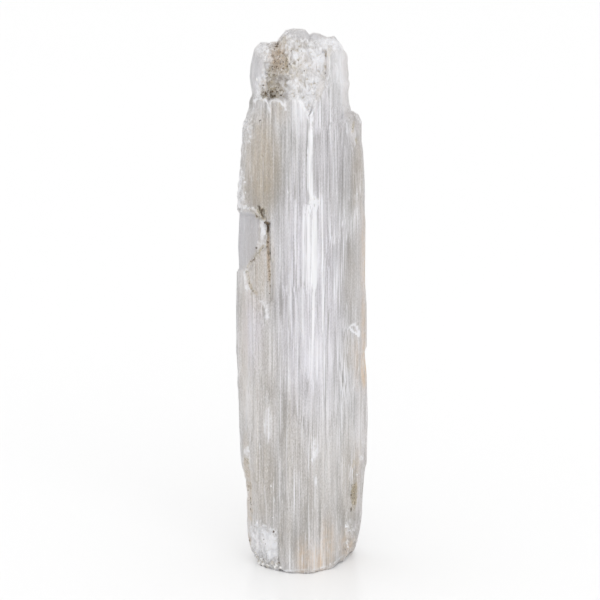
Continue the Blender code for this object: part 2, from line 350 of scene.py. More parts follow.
# %% [markdown]
# ## Masks on the skin
#
# A mark on a specimen is a patch, a speck or a scratch. So a mask is drawn as an outline, an oval or a
# stroke in the view, and it falls on the corners behind it that face the camera. The hidden sides get
# theirs from places on the crystal. A painted picture would be tied to one resolution, and these shapes
# aren't.

# %% Skin
FACING = (-0.05, 0.25)
STROKE_CORE = 0.4


class Skin:
    """The corners of a piece, and masks on them."""

    def __init__(self, piece):
        self.places = corners_of(piece)
        self.normals = normals_of(piece)
        self.view = in_view(self.places * MM)
        self.seen = ramp(-self.normals @ np.array(camera_forward), *FACING)

    def beside(self, start, end):
        """How far along a run from start to end each corner shows, as a share, and how far beside it."""
        run = end - start
        share = np.clip((self.view - start) @ run / (run @ run), 0.0, 1.0)
        return share, np.linalg.norm(self.view - start - share[:, None] * run, axis=1)

    def within(self, outline, soft):
        """1 inside an outline of the view, 0 outside, and soft over this many pixels."""
        inside = np.zeros(len(self.view), bool)
        nearest = np.full(len(self.view), np.inf)
        across, down = self.view.T
        ends = np.array(outline, float)
        for start, end in zip(ends, np.roll(ends, -1, axis=0)):
            nearest = np.minimum(nearest, self.beside(start, end)[1])
            if start[1] != end[1]:
                crosses = (start[1] > down) != (end[1] > down)
                crossing = start[0] + (down - start[1]) * (end[0] - start[0]) / (end[1] - start[1])
                inside ^= crosses & (across < crossing)
        return ramp(np.where(inside, nearest, -nearest), -0.5 * soft, 0.5 * soft) * self.seen

    def spot(self, across, down, half_width, half_height, edge=0.4):
        """An oval in the view, with a soft edge of this share of its size."""
        away = np.hypot((self.view[:, 0] - across) / half_width, (self.view[:, 1] - down) / half_height)
        return ramp(away, 1.0, 1.0 - edge) * self.seen

    def line(self, points, width, fade=0.0):
        """A soft stroke through points of the view, which fades over some pixels at both ends."""
        nearest = np.full(len(self.view), np.inf)
        along = np.zeros(len(self.view))
        ends = np.array(points, float)
        done = 0.0
        for start, end in zip(ends, ends[1:]):
            share, away = self.beside(start, end)
            length = np.linalg.norm(end - start)
            along = np.where(away < nearest, done + share * length, along)
            nearest = np.minimum(nearest, away)
            done += length
        faded = ramp(along, 0.0, fade) * ramp(done - along, 0.0, fade) if fade else 1.0
        return ramp(nearest, width, STROKE_CORE * width) * faded * self.seen

    def ball(self, place, size):
        """A soft ball around a place in millimetres, given as (x, y, z), with (x, y, z) half sizes."""
        away = np.linalg.norm((self.places - np.array(place)) / np.array(size), axis=1)
        return ramp(away, 1.0, 0.5)


print("corners that face the camera:", int((Skin(blade).seen > 0.5).sum()))

# %% [markdown]
# ## The broken zones
#
# These are the places where fibres broke across: the slope at the top, the two ragged edges on the left,
# the notch with its wedge, the bruises at the foot and a flaw on the right. Their outlines show in the
# view, so they are drawn there. The breaks on the hidden sides are soft balls around places on the crystal.

# %% Outlines and places of the breaks
TOP_SLOPE = (
    (262, 46), (268, 40), (284, 31), (300, 36), (318, 42), (331, 50), (326, 60), (327, 73), (321, 77),
    (316, 90), (314, 101), (309.5, 119), (304, 108), (301, 97), (287, 98), (270, 98), (255, 99), (258, 86),
    (263, 70),
)
SLOPE_HEART = (
    (262, 52), (272, 45), (284, 42), (300, 43), (318, 46), (336, 49), (337, 80), (326, 92), (320, 102),
    (315, 112), (309, 122), (305, 110), (296, 96), (284, 94), (264, 96), (259, 88), (261, 68),
)
LEFT_EDGE_HIGH = ((245, 112), (250, 116), (255, 128), (251, 146), (244, 158), (237, 150), (239, 118))
LEFT_EDGE_LOW = ((244, 165), (247, 180), (246, 205), (236, 206), (236, 180))
NOTCH_RIM = ((238, 206), (247, 208), (254, 210), (259, 214), (262, 219))
NOTCH_PLANE = ((236, 212), (250, 212), (259, 217), (259, 240), (256, 250), (246, 268), (236, 270))
NOTCH_WEDGE = ((258, 220), (265, 221), (266, 234), (268, 243), (262, 250), (257, 249), (258, 236))
FOOT_BRUISE = (
    (248, 530), (256, 524), (262, 523), (268, 528), (276, 530), (277.5, 549), (280, 558), (275, 566),
    (262, 568), (252, 556), (249, 541),
)
FOOT_RIGHT = ((345, 524), (358, 520), (360, 545), (350, 556), (342, 556))
RIGHT_FLAW = ((345, 324), (351, 322), (358, 327), (360, 336), (356, 336), (349, 331))

# Each break in front is (share, softness in pixels, outline)
BREAKS_IN_FRONT = (
    (1.0, 3.0, TOP_SLOPE), (0.8, 3.0, FOOT_BRUISE), (0.8, 4.0, LEFT_EDGE_HIGH), (0.8, 4.0, LEFT_EDGE_LOW),
    (0.7, 2.0, NOTCH_WEDGE), (0.6, 3.0, RIGHT_FLAW), (0.6, 4.0, FOOT_RIGHT),
)
RIM_SHARE, RIM_WIDTH = 0.8, 3.4
# Each break elsewhere is (share, (x, y, z), (x, y, z) half sizes), in millimetres
BREAKS_ELSEWHERE = (
    (0.8, (-4.0, 16.0, 219.0), (17.0, 9.0, 11.0)), (0.7, (9.0, 17.0, 3.0), (13.0, 8.0, 8.0)),
    (0.6, (-26.0, 3.0, 36.0), (5.0, 7.0, 15.0)), (0.6, (26.0, 9.0, 194.0), (7.0, 7.0, 8.0)),
)
TOP_END_SHARE = 0.55
TOP_END_FACING = (0.5, 0.85)
TOP_END_HEIGHTS = (200.0, 212.0)


def broken_in_front(skin):
    """The broken places that face the camera."""
    return any_of(
        RIM_SHARE * skin.line(NOTCH_RIM, RIM_WIDTH),
        *(share * skin.within(outline, soft) for share, soft, outline in BREAKS_IN_FRONT),
    )


def broken_elsewhere(skin):
    """The broken ends of the top, and bruises on the hidden sides."""
    looks_up = ramp(skin.normals[:, 2], *TOP_END_FACING)
    return any_of(
        TOP_END_SHARE * looks_up * ramp(skin.places[:, 2], *TOP_END_HEIGHTS),
        *(share * skin.ball(place, size) for share, place, size in BREAKS_ELSEWHERE),
    )


print("breaks drawn:", len(BREAKS_IN_FRONT) + 1, "in front and", len(BREAKS_ELSEWHERE) + 1, "elsewhere")

# %% [markdown]
# ## Smaller faces in the breaks
#
# A broken end is rougher than the rest, so it needs smaller faces. One more level all over would pass the
# limit of triangles for a piece. Only the faces in the breaks that face front are split once more.

# %% Split the faces in the broken zones
SPLIT_ABOVE = 0.4
# Heights over which the relief begins above the foot, and depths over which the back half begins, in mm
FOOT_CALM = (0.1, 2.5)
BACK_HALF = (-2.0, 3.0)


def split_faces(piece, mask, above):
    """Splits the faces of a piece in four where a mask on its corners is above a value."""
    loops = np.empty(len(piece.data.loops), np.int32)
    piece.data.loops.foreach_get("vertex_index", loops)
    starts = np.empty(len(piece.data.polygons), np.int32)
    piece.data.polygons.foreach_get("loop_start", starts)
    chosen = mask[loops[starts]] > above
    work_on(piece)
    bpy.ops.object.mode_set(mode="EDIT")
    bpy.ops.mesh.select_mode(type="FACE")
    bpy.ops.mesh.select_all(action="DESELECT")
    bpy.ops.object.mode_set(mode="OBJECT")
    piece.data.polygons.foreach_set("select", chosen)
    bpy.ops.object.mode_set(mode="EDIT")
    bpy.ops.mesh.subdivide(number_cuts=1)
    bpy.ops.object.mode_set(mode="OBJECT")
    print("split", int(chosen.sum()), "faces of", piece.name)


split_faces(blade, broken_in_front(Skin(blade)), SPLIT_ABOVE)
skin = Skin(blade)
broken = any_of(broken_in_front(skin), broken_elsewhere(skin))
above_foot = ramp(skin.places[:, 2], *FOOT_CALM)
behind = ramp(skin.places[:, 1], *BACK_HALF)
triangles = sum(len(face.vertices) - 2 for face in blade.data.polygons)
print("the blade has", triangles, "triangles, and", int((broken > 0.5).sum()), "broken corners")

# %% [markdown]
# ## How the skin is pushed
#
# Real fibres are ridges that run the whole length of the crystal. They could be sculpted one by one, but
# there are hundreds. A Displace modifier pushes corners along their normals by a texture instead. The
# texture is read in the space of an empty that is stretched along the crystal, so each soft lump becomes a
# long ridge.

# %% Vertex groups and the push
GROUP_STEPS = 20


def group_from(piece, name, weights):
    """A vertex group of a piece from an array of weights."""
    group = piece.vertex_groups.new(name=name)
    steps = np.round(weights * GROUP_STEPS).astype(int)
    for step in range(1, GROUP_STEPS + 1):
        group.add(np.flatnonzero(steps == step).tolist(), step / GROUP_STEPS, "REPLACE")
    print("group", name, "has", int((steps > 0).sum()), "corners")
    return group.name


def push(piece, name, cell, strength, turn, group, noise):
    """Displaces a piece along its normals by clouds whose lumps are as big as the cell, in millimetres."""
    texture = bpy.data.textures.new(name, "CLOUDS")
    for setting, value in noise.items():
        setattr(texture, setting, value)
    space = bpy.data.objects.new(name, None)
    size = Matrix.Diagonal((*[side * MM for side in cell], 1.0))
    space.matrix_world = Matrix.Rotation(turn, 4, "Z") @ size
    scene.collection.objects.link(space)
    bpy.context.view_layer.update()
    finish_modifier(
        piece, "DISPLACE", texture=texture, texture_coords="OBJECT", texture_coords_object=space,
        strength=strength * MM, mid_level=0.5, vertex_group=group,
    )
    bpy.data.objects.remove(space)


fibrous = group_from(blade, "fibrous", above_foot * (1.0 - 0.75 * broken))
crumbly = group_from(blade, "crumbly", above_foot * broken)

# %% [markdown]
# ## Even hollows
#
# The heart of the top slope is a soft hollow. Two stretches near the right edge are faceted askew, so that
# fibres would look torn there. These places are smoothed first, through a vertex group of their own,
# because smoothing the whole blade would take its facets away.

# %% Smooth the hollows
ASKEW_STRETCHES = ((349.0, 353.0, 10.0, 36.0), (351.0, 470.0, 7.0, 24.0))
HEART_SOFT = 6.0

even_places = any_of(
    skin.within(SLOPE_HEART, HEART_SOFT), *(skin.spot(*oval) for oval in ASKEW_STRETCHES),
)
hollowed = group_from(blade, "hollowed", even_places)
finish_modifier(blade, "SMOOTH", factor=0.6, iterations=60, vertex_group=hollowed)

# %% [markdown]
# ## Fibres and crumbs in the shape
#
# Three pushes make laths with stepped ends, ridges, and fine lines, each thinner than the one before. The
# broken zones get round lumps in three sizes instead, because fibres that break across leave sugary heaps.

# %% Push laths, ridges, lines and lumps
SOFT = {"noise_scale": 1.0, "noise_depth": 2, "noise_basis": "IMPROVED_PERLIN"}
STEPPED = {"noise_scale": 1.0, "noise_depth": 0, "noise_basis": "CELL_NOISE"}
# Each push is (name, size of a lump, strength, turn of its space, group, noise), in millimetres and radians
PUSHES = (
    ("laths", (2.6, 2.6, 80.0), 0.05, 0.6, fibrous, STEPPED),
    ("ridges", (0.9, 0.9, 60.0), 0.17, 1.1, fibrous, SOFT),
    ("lines", (0.55, 0.55, 24.0), 0.32, 0.2, fibrous, SOFT),
    ("lumps", (3.4, 3.4, 3.2), 2.6, 0.6, crumbly, SOFT),
    ("chunks", (1.7, 1.7, 1.7), 1.6, 0.9, crumbly, SOFT),
    ("crumbs", (0.8, 0.8, 0.8), 0.4, 0.3, crumbly, SOFT),
)
for name, cell, strength, turn, group, noise in PUSHES:
    push(blade, name, cell, strength, turn, group, noise)

# %% [markdown]
# ## Small steps along the two edges
#
# Splinters have come off the edges, so the crystal's outline has steps of less than a millimetre. The edge
# faces are those that look sideways, and they are moved in or out between two heights. A cut would leave
# flat ends, which broken fibres don't have.

# %% Step the edges
# Each step is a side (-1 left, 1 right), a depth in millimetres, and four heights in the view, in pixels
EDGE_STEPS = (
    (1, 0.7, 463, 467, 505, 530), (1, 0.75, 56, 64, 78, 84), (1, 0.55, 118, 123, 140, 150),
    (-1, 0.75, 464, 474, 492, 504), (-1, 0.6, 350, 357, 370, 384), (1, -0.7, 106, 110, 113, 117),
    (-1, -0.55, 95, 99, 102, 107), (-1, 0.7, 546, 552, 562, 568), (1, 0.3, 196, 204, 214, 222),
    (-1, -0.3, 514, 520, 534, 540),
)
LOOKS_SIDEWAYS = (0.7, 0.95)


def step_edges(piece, steps):
    """The corners of a piece with its sideways faces moved between heights of the view, in millimetres."""
    places = corners_of(piece)
    sideways = normals_of(piece)[:, 0]
    down = in_view(places * MM)[:, 1]
    for side, depth, start, full, full_end, end in steps:
        share = ramp(down, start, full) * ramp(down, end, full_end) * ramp(side * sideways, *LOOKS_SIDEWAYS)
        places[:, 0] -= side * depth * share
    return places


places = step_edges(blade, EDGE_STEPS)
print("the deepest step is", max(abs(depth) for _, depth, *_ in EDGE_STEPS), "mm")

# %% [markdown]
# ## A flat foot, inside the solid's box
#
# The crystal stands on its ground foot, so the lowest corners are set level, and the rim above them is
# drawn in a little. The finer skin is kept within the solid, whose size is the measured one, so what
# passes its box is clipped. Smooth shading stops at edges over 45 degrees, which keeps the breaks crisp.

# %% Keep the skin inside the box
FOOT_FLAT, FOOT_EDGE, FOOT_INSET = 0.15, 0.9, 0.6
CRISP_ABOVE = math.radians(45.0)


def keep_in_box(piece, places):
    """Gives a piece these corners in millimetres, clipped to the solid's box."""
    inside = np.clip(places, np.array(solid_low) / MM, np.array(solid_high) / MM)
    piece.data.vertices.foreach_set("co", (inside * MM).astype(np.float32).ravel())
    piece.data.update()
    print(piece.name, "had", int((places != inside).any(axis=1).sum()), "corners past the box")


outwards = normals_of(blade)
outwards[:, 2] = 0.0
places -= FOOT_INSET * ramp(places[:, 2], FOOT_EDGE, 0.0)[:, None] * outwards
places[:, 2] = np.where(places[:, 2] < FOOT_FLAT, 0.0, places[:, 2])
keep_in_box(blade, places)
work_on(blade)
bpy.ops.object.shade_smooth_by_angle(angle=CRISP_ABOVE)

# %% [markdown]
# ## Hollows and crests
#
# In a broken place the crests are white and dry, and the hollows hold the earth. The crests are also
# painted lighter, as painted highlight through the frost, and the hollows darker, as painted shade through
# the sand colour. Whether a corner is in a hollow is measured: the skin is evened out in numbers, and a
# corner that lies below the evened skin is in a hollow. A long evening out finds the wide hollows, and a
# short one the fine ones.

# %% Measure the hollows
# The measured hollow at which a crest or a pit begins, and at which it is whole
CRESTS = (0.25, -0.35)
PITS = (-0.05, 0.45)


def hollows_of(piece, rounds, full):
    """-1 on crests to 1 in hollows, where full is the depth in millimetres that counts as a whole one."""
    ends = np.empty(2 * len(piece.data.edges), np.int32)
    piece.data.edges.foreach_get("vertices", ends)
    first, second = ends.reshape(-1, 2).T
    places = corners_of(piece)
    neighbours = np.bincount(first, minlength=len(places)) + np.bincount(second, minlength=len(places))
    even = places.copy()
    for _ in range(rounds):
        total = np.zeros_like(even)
        for axis in range(3):
            total[:, axis] += np.bincount(first, even[second, axis], len(places))
            total[:, axis] += np.bincount(second, even[first, axis], len(places))
        even = 0.5 * even + 0.5 * total / neighbours[:, None]
    depth = ((even - places) * normals_of(piece)).sum(axis=1)
    return np.clip(depth / full, -1.0, 1.0)


hollow = 0.75 * hollows_of(blade, rounds=60, full=0.7) + 0.25 * hollows_of(blade, rounds=8, full=0.2)
crest = ramp(hollow, *CRESTS)
pits = ramp(hollow, *PITS)
print("corners on crests:", int((crest > 0.5).sum()), "and in pits:", int((pits > 0.5).sum()))

# %% [markdown]
# ## Single grains
#
# Some grains are large enough to be seen one by one: dark bits of earth and bright crumbs of gypsum. Each
# has its place here once. The brush below paints a small stain or gleam around it, and a later cell puts a
# modelled grain on the same spot.

# %% Places of the single grains
# Each grain is (across, down) in the view, in pixels, and its size in millimetres
DARK_GRAINS = (
    (277.5, 43.5, 1.3), (276.5, 46, 1), (274.3, 49.2, 0.7), (272, 55.5, 0.8), (279.5, 56.8, 0.8),
    (282.8, 53.2, 0.7), (277.2, 66.8, 0.8), (283, 68.3, 0.9), (272.8, 66.3, 0.7), (273.2, 69.5, 0.8),
    (280, 63.8, 0.6), (269, 71, 0.6), (266.5, 73.5, 0.9), (263.3, 85.3, 0.9), (262.5, 88, 0.6),
    (265.5, 92.8, 1.6), (270.2, 92.5, 0.8), (272.5, 91.8, 0.9), (277, 92, 0.8), (268, 96, 1),
    (272.5, 96.8, 0.9), (275, 95.8, 1.1), (269.3, 99.3, 0.9), (291.3, 50.7, 0.8), (301.2, 51.3, 0.6),
    (304, 70.8, 0.7), (325.5, 73.2, 0.5), (309.7, 111.6, 0.5), (260.3, 120.5, 0.9), (283.5, 62, 0.6),
    (289.5, 64.2, 0.7), (287.3, 66.3, 0.5), (305, 80.5, 0.5), (278.5, 87.5, 0.5), (281, 95.5, 0.7),
    (267.3, 222.6, 1.5), (268.5, 228.6, 1.2), (265.3, 222.5, 0.9), (267.8, 242.5, 0.9), (256.5, 248, 0.9),
    (254.5, 258.3, 1), (253.8, 260.2, 0.8), (250.3, 261.8, 0.8), (246.8, 267.5, 0.9), (269.6, 271, 0.8),
    (269.8, 279, 0.7), (268.3, 282.5, 0.8), (270, 285, 0.7), (249.1, 283.2, 0.9), (252.8, 291, 0.8),
    (254.5, 293, 0.6), (269.5, 293.3, 0.7), (263, 156, 0.5), (265, 187, 0.5), (250, 497, 0.6),
    (250.8, 504, 0.8), (250.5, 508, 0.6), (252, 513, 0.7), (249.3, 541, 1.1), (248, 490.5, 0.8),
    (249, 500.5, 0.7), (248.6, 486, 0.6), (273.5, 532, 0.9), (265.8, 543.2, 0.4), (264, 539, 0.4),
    (279.3, 562.8, 0.9), (263.5, 559.5, 0.6), (351.5, 485, 0.8), (351, 494.5, 0.8), (351.7, 498, 0.8),
    (351, 503, 0.6), (351.2, 509, 0.9), (361, 497, 0.6), (345, 549, 0.6),
)
BRIGHT_GRAINS = (
    (267.5, 64, 1.2), (265.3, 77, 1.4), (258, 80, 1.8), (260, 84, 1.2), (288.5, 192, 1.1),
    (270.5, 486, 1.2), (272.5, 517, 1.1), (315.6, 475.5, 1.1), (361.5, 458, 1.4), (357, 475, 0.8),
    (358.5, 391, 0.8), (312, 309, 0.8), (304, 286, 0.8), (329, 134, 0.9), (357, 194, 0.8), (315, 205, 1.8),
    (314.5, 366, 1.2), (257.5, 523, 1.8), (274.5, 500, 0.8), (245, 128, 1.4), (249.5, 133, 1.4),
    (251, 137, 1), (347, 526, 1.6), (349.5, 530.5, 1.3), (346.5, 542.5, 1.5), (348.5, 547, 1.2),
    (310, 200.5, 1.8), (314, 199, 1.5), (317.5, 199, 1.6), (318.5, 203, 1.3), (247, 121, 1.6),
    (244, 124, 1.8), (248, 129, 1.4), (242.5, 135, 1.3), (241, 168, 1.4), (242.5, 172, 1.2),
    (245, 182, 1.2), (245.5, 192, 1.1), (243, 177, 0.9), (241.5, 204, 1.4), (246, 206, 1.2),
    (251, 265, 1.1), (294, 378, 0.7), (293.5, 383, 0.7), (313, 440, 0.9), (311.5, 446, 1), (316, 450, 1.1),
    (314, 456, 1.2), (312, 460, 0.9), (265, 397, 0.9), (268, 395, 0.9), (313.5, 511, 0.8), (260, 446, 0.9),
)


def halos(grains, share, width, height):
    """Ovals around grains, whose half sizes are (times the grain's size, pixels more)."""
    return tuple(
        (share, across, down, width[0] * size + width[1], height[0] * size + height[1], 1.0)
        for across, down, size in grains
    )


print("single grains:", len(DARK_GRAINS), "dark and", len(BRIGHT_GRAINS), "bright")

# %% [markdown]
# ## A brush for marks
#
# White frost with painted highlights, brown sand with painted shade in hollows, dark dirt with painted
# shade in cracks, cool clear gypsum and warm stains are numbers on the corners, stored as attributes of the
# mesh. The material reads them, and adds its own fine noise to their edges. One brush draws them all, from
# strokes, fields and ovals. Where marks overlap, the strongest counts.

# %% The brush
def paint(strokes=(), fields=(), ovals=(), fade=0.0):
    """One mask, in pixels of the view. A stroke is (share, width, points), and a field (share, softness,
    outline). An oval is (share, across, down, half width, half height), and may end with its softness."""
    masks = [share * skin.line(points, width, fade) for share, width, points in strokes]
    masks += [share * skin.within(outline, soft) for share, soft, outline in fields]
    masks += [share * skin.spot(*oval) for share, *oval in ovals]
    return any_of(*masks)


def covers(name, mask):
    """Prints how much of the skin a mask covers."""
    print(name, "covers", round(float(mask.mean()), 3), "of the corners")


TAN_STROKE = ((330, 48), (327, 60), (325, 72), (322, 82), (318, 96))

slope = skin.within(TOP_SLOPE, soft=3.0)
tan_band = skin.line(TAN_STROKE, width=4.2)
covers("the top slope", slope)
covers("the tan band right of it", tan_band)

# %% [markdown]
# ## Frost and painted highlights
#
# Broken gypsum is white, because its many small faces scatter light. The crests of the top slope, the lips
# of the breaks, the chip on the right and the bruises at the foot are frosted. The same white is also
# painted highlight: the crests are lighter, bright lines run along the lips and rims, and light patches lie
# on the smooth face and over the shadowed slot right of the top slope. The crests come from the measured
# hollows, and the lips and bruises are drawn.

# %% Frost: white, dry and sugary places, and painted highlights
FROST_AND_HIGHLIGHT_STROKES = (
    (0.62, 3.2, NOTCH_RIM),
    (0.95, 1.8, (
        (255, 101), (259, 98.5), (265, 99), (268, 104), (271, 100.5), (276, 99), (281, 101.5), (283, 106),
    )),
    (0.7, 2.2, ((268, 101), (268.5, 107), (270, 112))),
    (0.8, 2, ((284.5, 100), (285.5, 110))),
    (0.7, 1.8, ((268, 50), (267, 58), (267, 65), (265, 72), (264, 78))),
    (0.5, 1.8, ((253, 112), (254, 107), (256, 102))),
    (0.5, 1.4, ((358, 336), (358.5, 349))),
    (1, 2, ((349.5, 325), (352.5, 324), (356.5, 326), (358.5, 330.5), (359, 335))),
    (1, 2, ((350.5, 329), (353, 331.6), (355.5, 333.2), (358.5, 335))),
    (0.5, 1.6, ((355, 148), (355.5, 140), (357, 132))),
    (0.62, 1.8, ((350, 110), (355, 110.5), (359, 114), (361, 122))),
    (0.5, 1.6, ((314, 101), (312, 109), (309.5, 117))),
    (0.7, 2, ((261, 299), (265, 301), (267, 308), (267, 318))),
    (0.6, 2.6, ((264, 316), (268, 318))),
    (0.6, 2.4, ((245, 270), (245, 284), (247, 292))),
    (0.55, 2.2, ((249, 262), (246.5, 272), (248.5, 287), (254, 297), (262, 299))),
    (0.5, 1.5, ((264.5, 402), (265.5, 395), (268, 395), (268.5, 402))),
    (0.55, 1.6, ((256, 523), (260, 520), (263, 525), (270, 528), (275, 531))),
    (0.6, 1.8, ((284, 571), (300, 570), (320, 568.5), (333, 563.5), (343, 555.5))),
)
FROST_AND_HIGHLIGHT_FIELDS = (
    (0.75, 5, (
        (291, 50), (311, 47), (322, 47), (325, 55), (322, 66), (313, 62), (303, 53), (300, 60), (291, 60),
    )),
    (0.65, 4, ((288, 79), (296, 79), (298, 96), (287, 97))),
    (0.7, 4, ((306, 78), (315, 76), (314, 92), (306, 92))),
    (0.5, 3, ((324, 50), (329, 50), (329, 73), (324, 73))),
    (1, 2, (
        (308, 198), (313, 198), (318, 196.5), (320.5, 202), (317.5, 206), (316.5, 213), (312.5, 209),
        (311, 204),
    )),
    (0.7, 3, ((288, 40), (296, 38), (294, 47), (288, 50))),
    (0.75, 6, ((318, 38), (332, 37), (341, 41), (345, 50), (332, 51), (318, 48))),
    (0.6, 3, ((254, 50), (258, 44), (266, 43), (268, 50), (260, 54))),
    (0.6, 5, ((255, 76), (262, 74), (264, 84), (261, 90), (262, 98), (255, 99), (254, 88))),
    (0.7, 3, ((296, 97), (315, 98), (312, 108), (309, 121), (304, 112))),
    (0.5, 7, ((239, 116), (247, 114), (255, 128), (254, 140), (246, 146), (238, 144))),
    (0.35, 6, ((287, 97), (302, 97), (306, 108), (308, 128), (298, 138), (288, 125))),
    (0.6, 3, ((237, 168), (245, 168), (245, 204), (237, 206))),
    (0.78, 2.6, (
        (259.5, 220), (265, 220), (266, 227), (266.5, 233), (264.5, 239), (261.5, 244), (259.5, 238),
        (260.5, 230),
    )),
    (0.5, 2.5, ((257, 240), (265, 238), (268, 243), (262, 251), (256, 251))),
    (0.64, 4, (
        (254, 524), (258, 520), (262, 523), (270, 528), (279, 532), (279, 557), (270, 561), (260, 556),
        (254, 541),
    )),
    (0.95, 5, ((262, 529), (271, 532), (278, 538), (278, 557), (268, 559), (263, 548))),
    (0.66, 5, ((249, 527), (258, 522), (262, 556), (253, 553), (249, 544))),
    (0.35, 4, ((257, 560), (276, 563), (274, 568), (262, 568))),
    (0.34, 5, ((262, 98), (288, 98), (288, 107), (275, 104), (262, 108))),
    (0.62, 2.6, ((344.5, 328), (348.5, 324), (350.5, 326), (351, 330), (348, 331))),
    (0.62, 2.4, ((257, 295), (264, 297), (269, 302), (270, 316), (265.5, 319), (264, 309), (258, 301))),
    (0.48, 4, ((345, 519), (351, 517), (357, 524), (355, 534), (350, 548), (345, 550))),
)
FROST_AND_HIGHLIGHT_OVALS = (
    (0.58, 315, 449, 6, 15), (0.7, 361.5, 458, 2.5, 4), (0.8, 246.5, 451, 4, 6), (0.46, 268, 423, 6, 26),
    (0.7, 325.5, 56, 2.6, 9), (0.4, 312, 60, 22, 12),
)
# frost, and painted highlights: lighter crests, bright rims, and light over a shadowed slot
frost_and_highlights = any_of(
    0.6 * slope * crest,
    paint(FROST_AND_HIGHLIGHT_STROKES, FROST_AND_HIGHLIGHT_FIELDS, FROST_AND_HIGHLIGHT_OVALS),
    0.8 * broken * behind * (0.3 + 0.7 * crest),
) * (1.0 - 0.45 * tan_band)
covers("frost_and_painted_highlights", frost_and_highlights)

# %% [markdown]
# ## Gleam in front
#
# Some fibres are clear, and light runs down in them and comes out as bright slivers. A glowing material
# would light its surroundings, and a crystal doesn't. So these fibres only get the palest colour. The
# strokes fade at both ends, as slivers do.

# %% Gleam: clear fibres that catch the light
GLEAM_STROKES = (
    (0.9, 2.6, ((310.2, 122), (310.2, 160), (311, 196), (314, 203), (316, 211))),
    (0.8, 1.6, ((307.8, 140), (308.2, 200))),
    (0.9, 2.4, ((316, 198), (314.2, 214), (314, 240), (314, 300))),
    (0.8, 1.8, ((309.4, 196), (309, 250), (308.5, 292))),
    (0.7, 1.6, ((303.8, 196), (303.5, 240), (303.8, 292))),
    (0.7, 1.5, ((304.3, 278), (304.2, 350))),
    (0.7, 1.5, ((313.5, 280), (312.8, 350))),
    (0.8, 1.4, ((322, 188), (322.3, 240), (323, 310), (324.5, 405))),
    (0.5, 1.4, ((290.5, 262), (290.3, 322))),
    (0.7, 2.6, ((301, 94), (301, 130))),
    (0.7, 2.4, ((311, 104), (312, 134))),
    (0.3, 1.3, ((293.2, 448), (293.4, 530))),
    (0.35, 1.6, ((313, 420), (313.5, 475))),
    (0.7, 1.4, ((316, 468), (316.4, 494))),
    (0.42, 1.3, ((352.2, 440), (352.5, 494))),
)
GLEAM_FIELDS = (
    (0.95, 4.6, ((311, 222), (315.5, 210), (317.2, 216), (317.4, 283), (314.5, 290), (310.6, 281))),
    (0.5, 6, ((302, 206), (311, 202), (312, 288), (306, 292), (302, 276))),
    (0.4, 6, ((309, 338), (320, 340), (322, 362), (316, 376), (310, 368))),
    (0.95, 3, ((307, 202), (312, 197), (319, 197), (319.5, 204), (317, 212), (311, 207))),
    (0.3, 5, ((309, 436), (318, 434), (319, 458), (314, 466), (309, 456))),
    (0.4, 5, ((264, 406), (270, 404), (271, 438), (265, 444))),
)
GLEAM_OVALS = (
    (0.12, 296, 160, 12, 70, 1), (0.34, 332, 160, 10, 60, 0.8), (0.3, 344, 80, 7, 36, 1),
    (0.4, 356, 200, 9, 60, 0.8), (0.44, 344, 356, 18, 70, 0.8), (0.32, 298, 490, 10, 60, 1),
    (0.26, 353, 462, 9, 60, 0.8), (0.38, 296, 310, 20, 90, 0.8), (0.44, 338, 256, 18, 76, 0.8),
)
gleam_in_front = paint(
    GLEAM_STROKES, GLEAM_FIELDS, GLEAM_OVALS + halos(BRIGHT_GRAINS, 0.8, (1.2, 0.8), (1.2, 0.8)), fade=14.0
)
covers("gleam in front", gleam_in_front)

# %% [markdown]
# ## Gleam on the hidden sides
#
# The back is a bundle of the same fibres, so it has the same bright and grey bands. They can't be drawn
# through the camera. Each is given by where it is across the crystal, and from which height to which it
# runs.

# %% Bands on the hidden sides
LOOKS_BACK = (0.0, 0.4)
BAND_FADE = 30.0
BAND_CORE = 0.3
# Each band is a share, its middle across, its half width, its foot and its top, in millimetres
BACK_GLEAM = (
    (0.6, -14, 2.4, 30, 190), (0.5, -3, 1.4, 60, 215), (0.6, 6, 3, 20, 150), (0.5, 15, 1.6, 80, 220),
    (0.3, -10, 9, 90, 230), (0.3, 4, 12, 10, 140),
)

hidden = ramp(skin.normals[:, 1], *LOOKS_BACK)


def back_band(middle, width, foot, top):
    """A soft band on the hidden side around x = middle, between two heights, in millimetres."""
    z = skin.places[:, 2]
    along = ramp(z, foot, foot + BAND_FADE) * ramp(z, top, top - BAND_FADE)
    return hidden * along * ramp(np.abs(skin.places[:, 0] - middle), width, BAND_CORE * width)


gleam = any_of(gleam_in_front, *(share * back_band(*band) for share, *band in BACK_GLEAM))
covers("gleam", gleam)

# %% [markdown]
# ## Sand, and painted shade in the hollows
#
# The crystal lay in brown earth, and sand stayed where water couldn't wash it out: in the pits of the
# slope, along the notch and its crack, and down the two edges. The measured pits of the slope and of the
# hidden breaks also get the sand colour as painted shade. The sand is drawn as soft strokes, because the
# material breaks their edges up into grains.

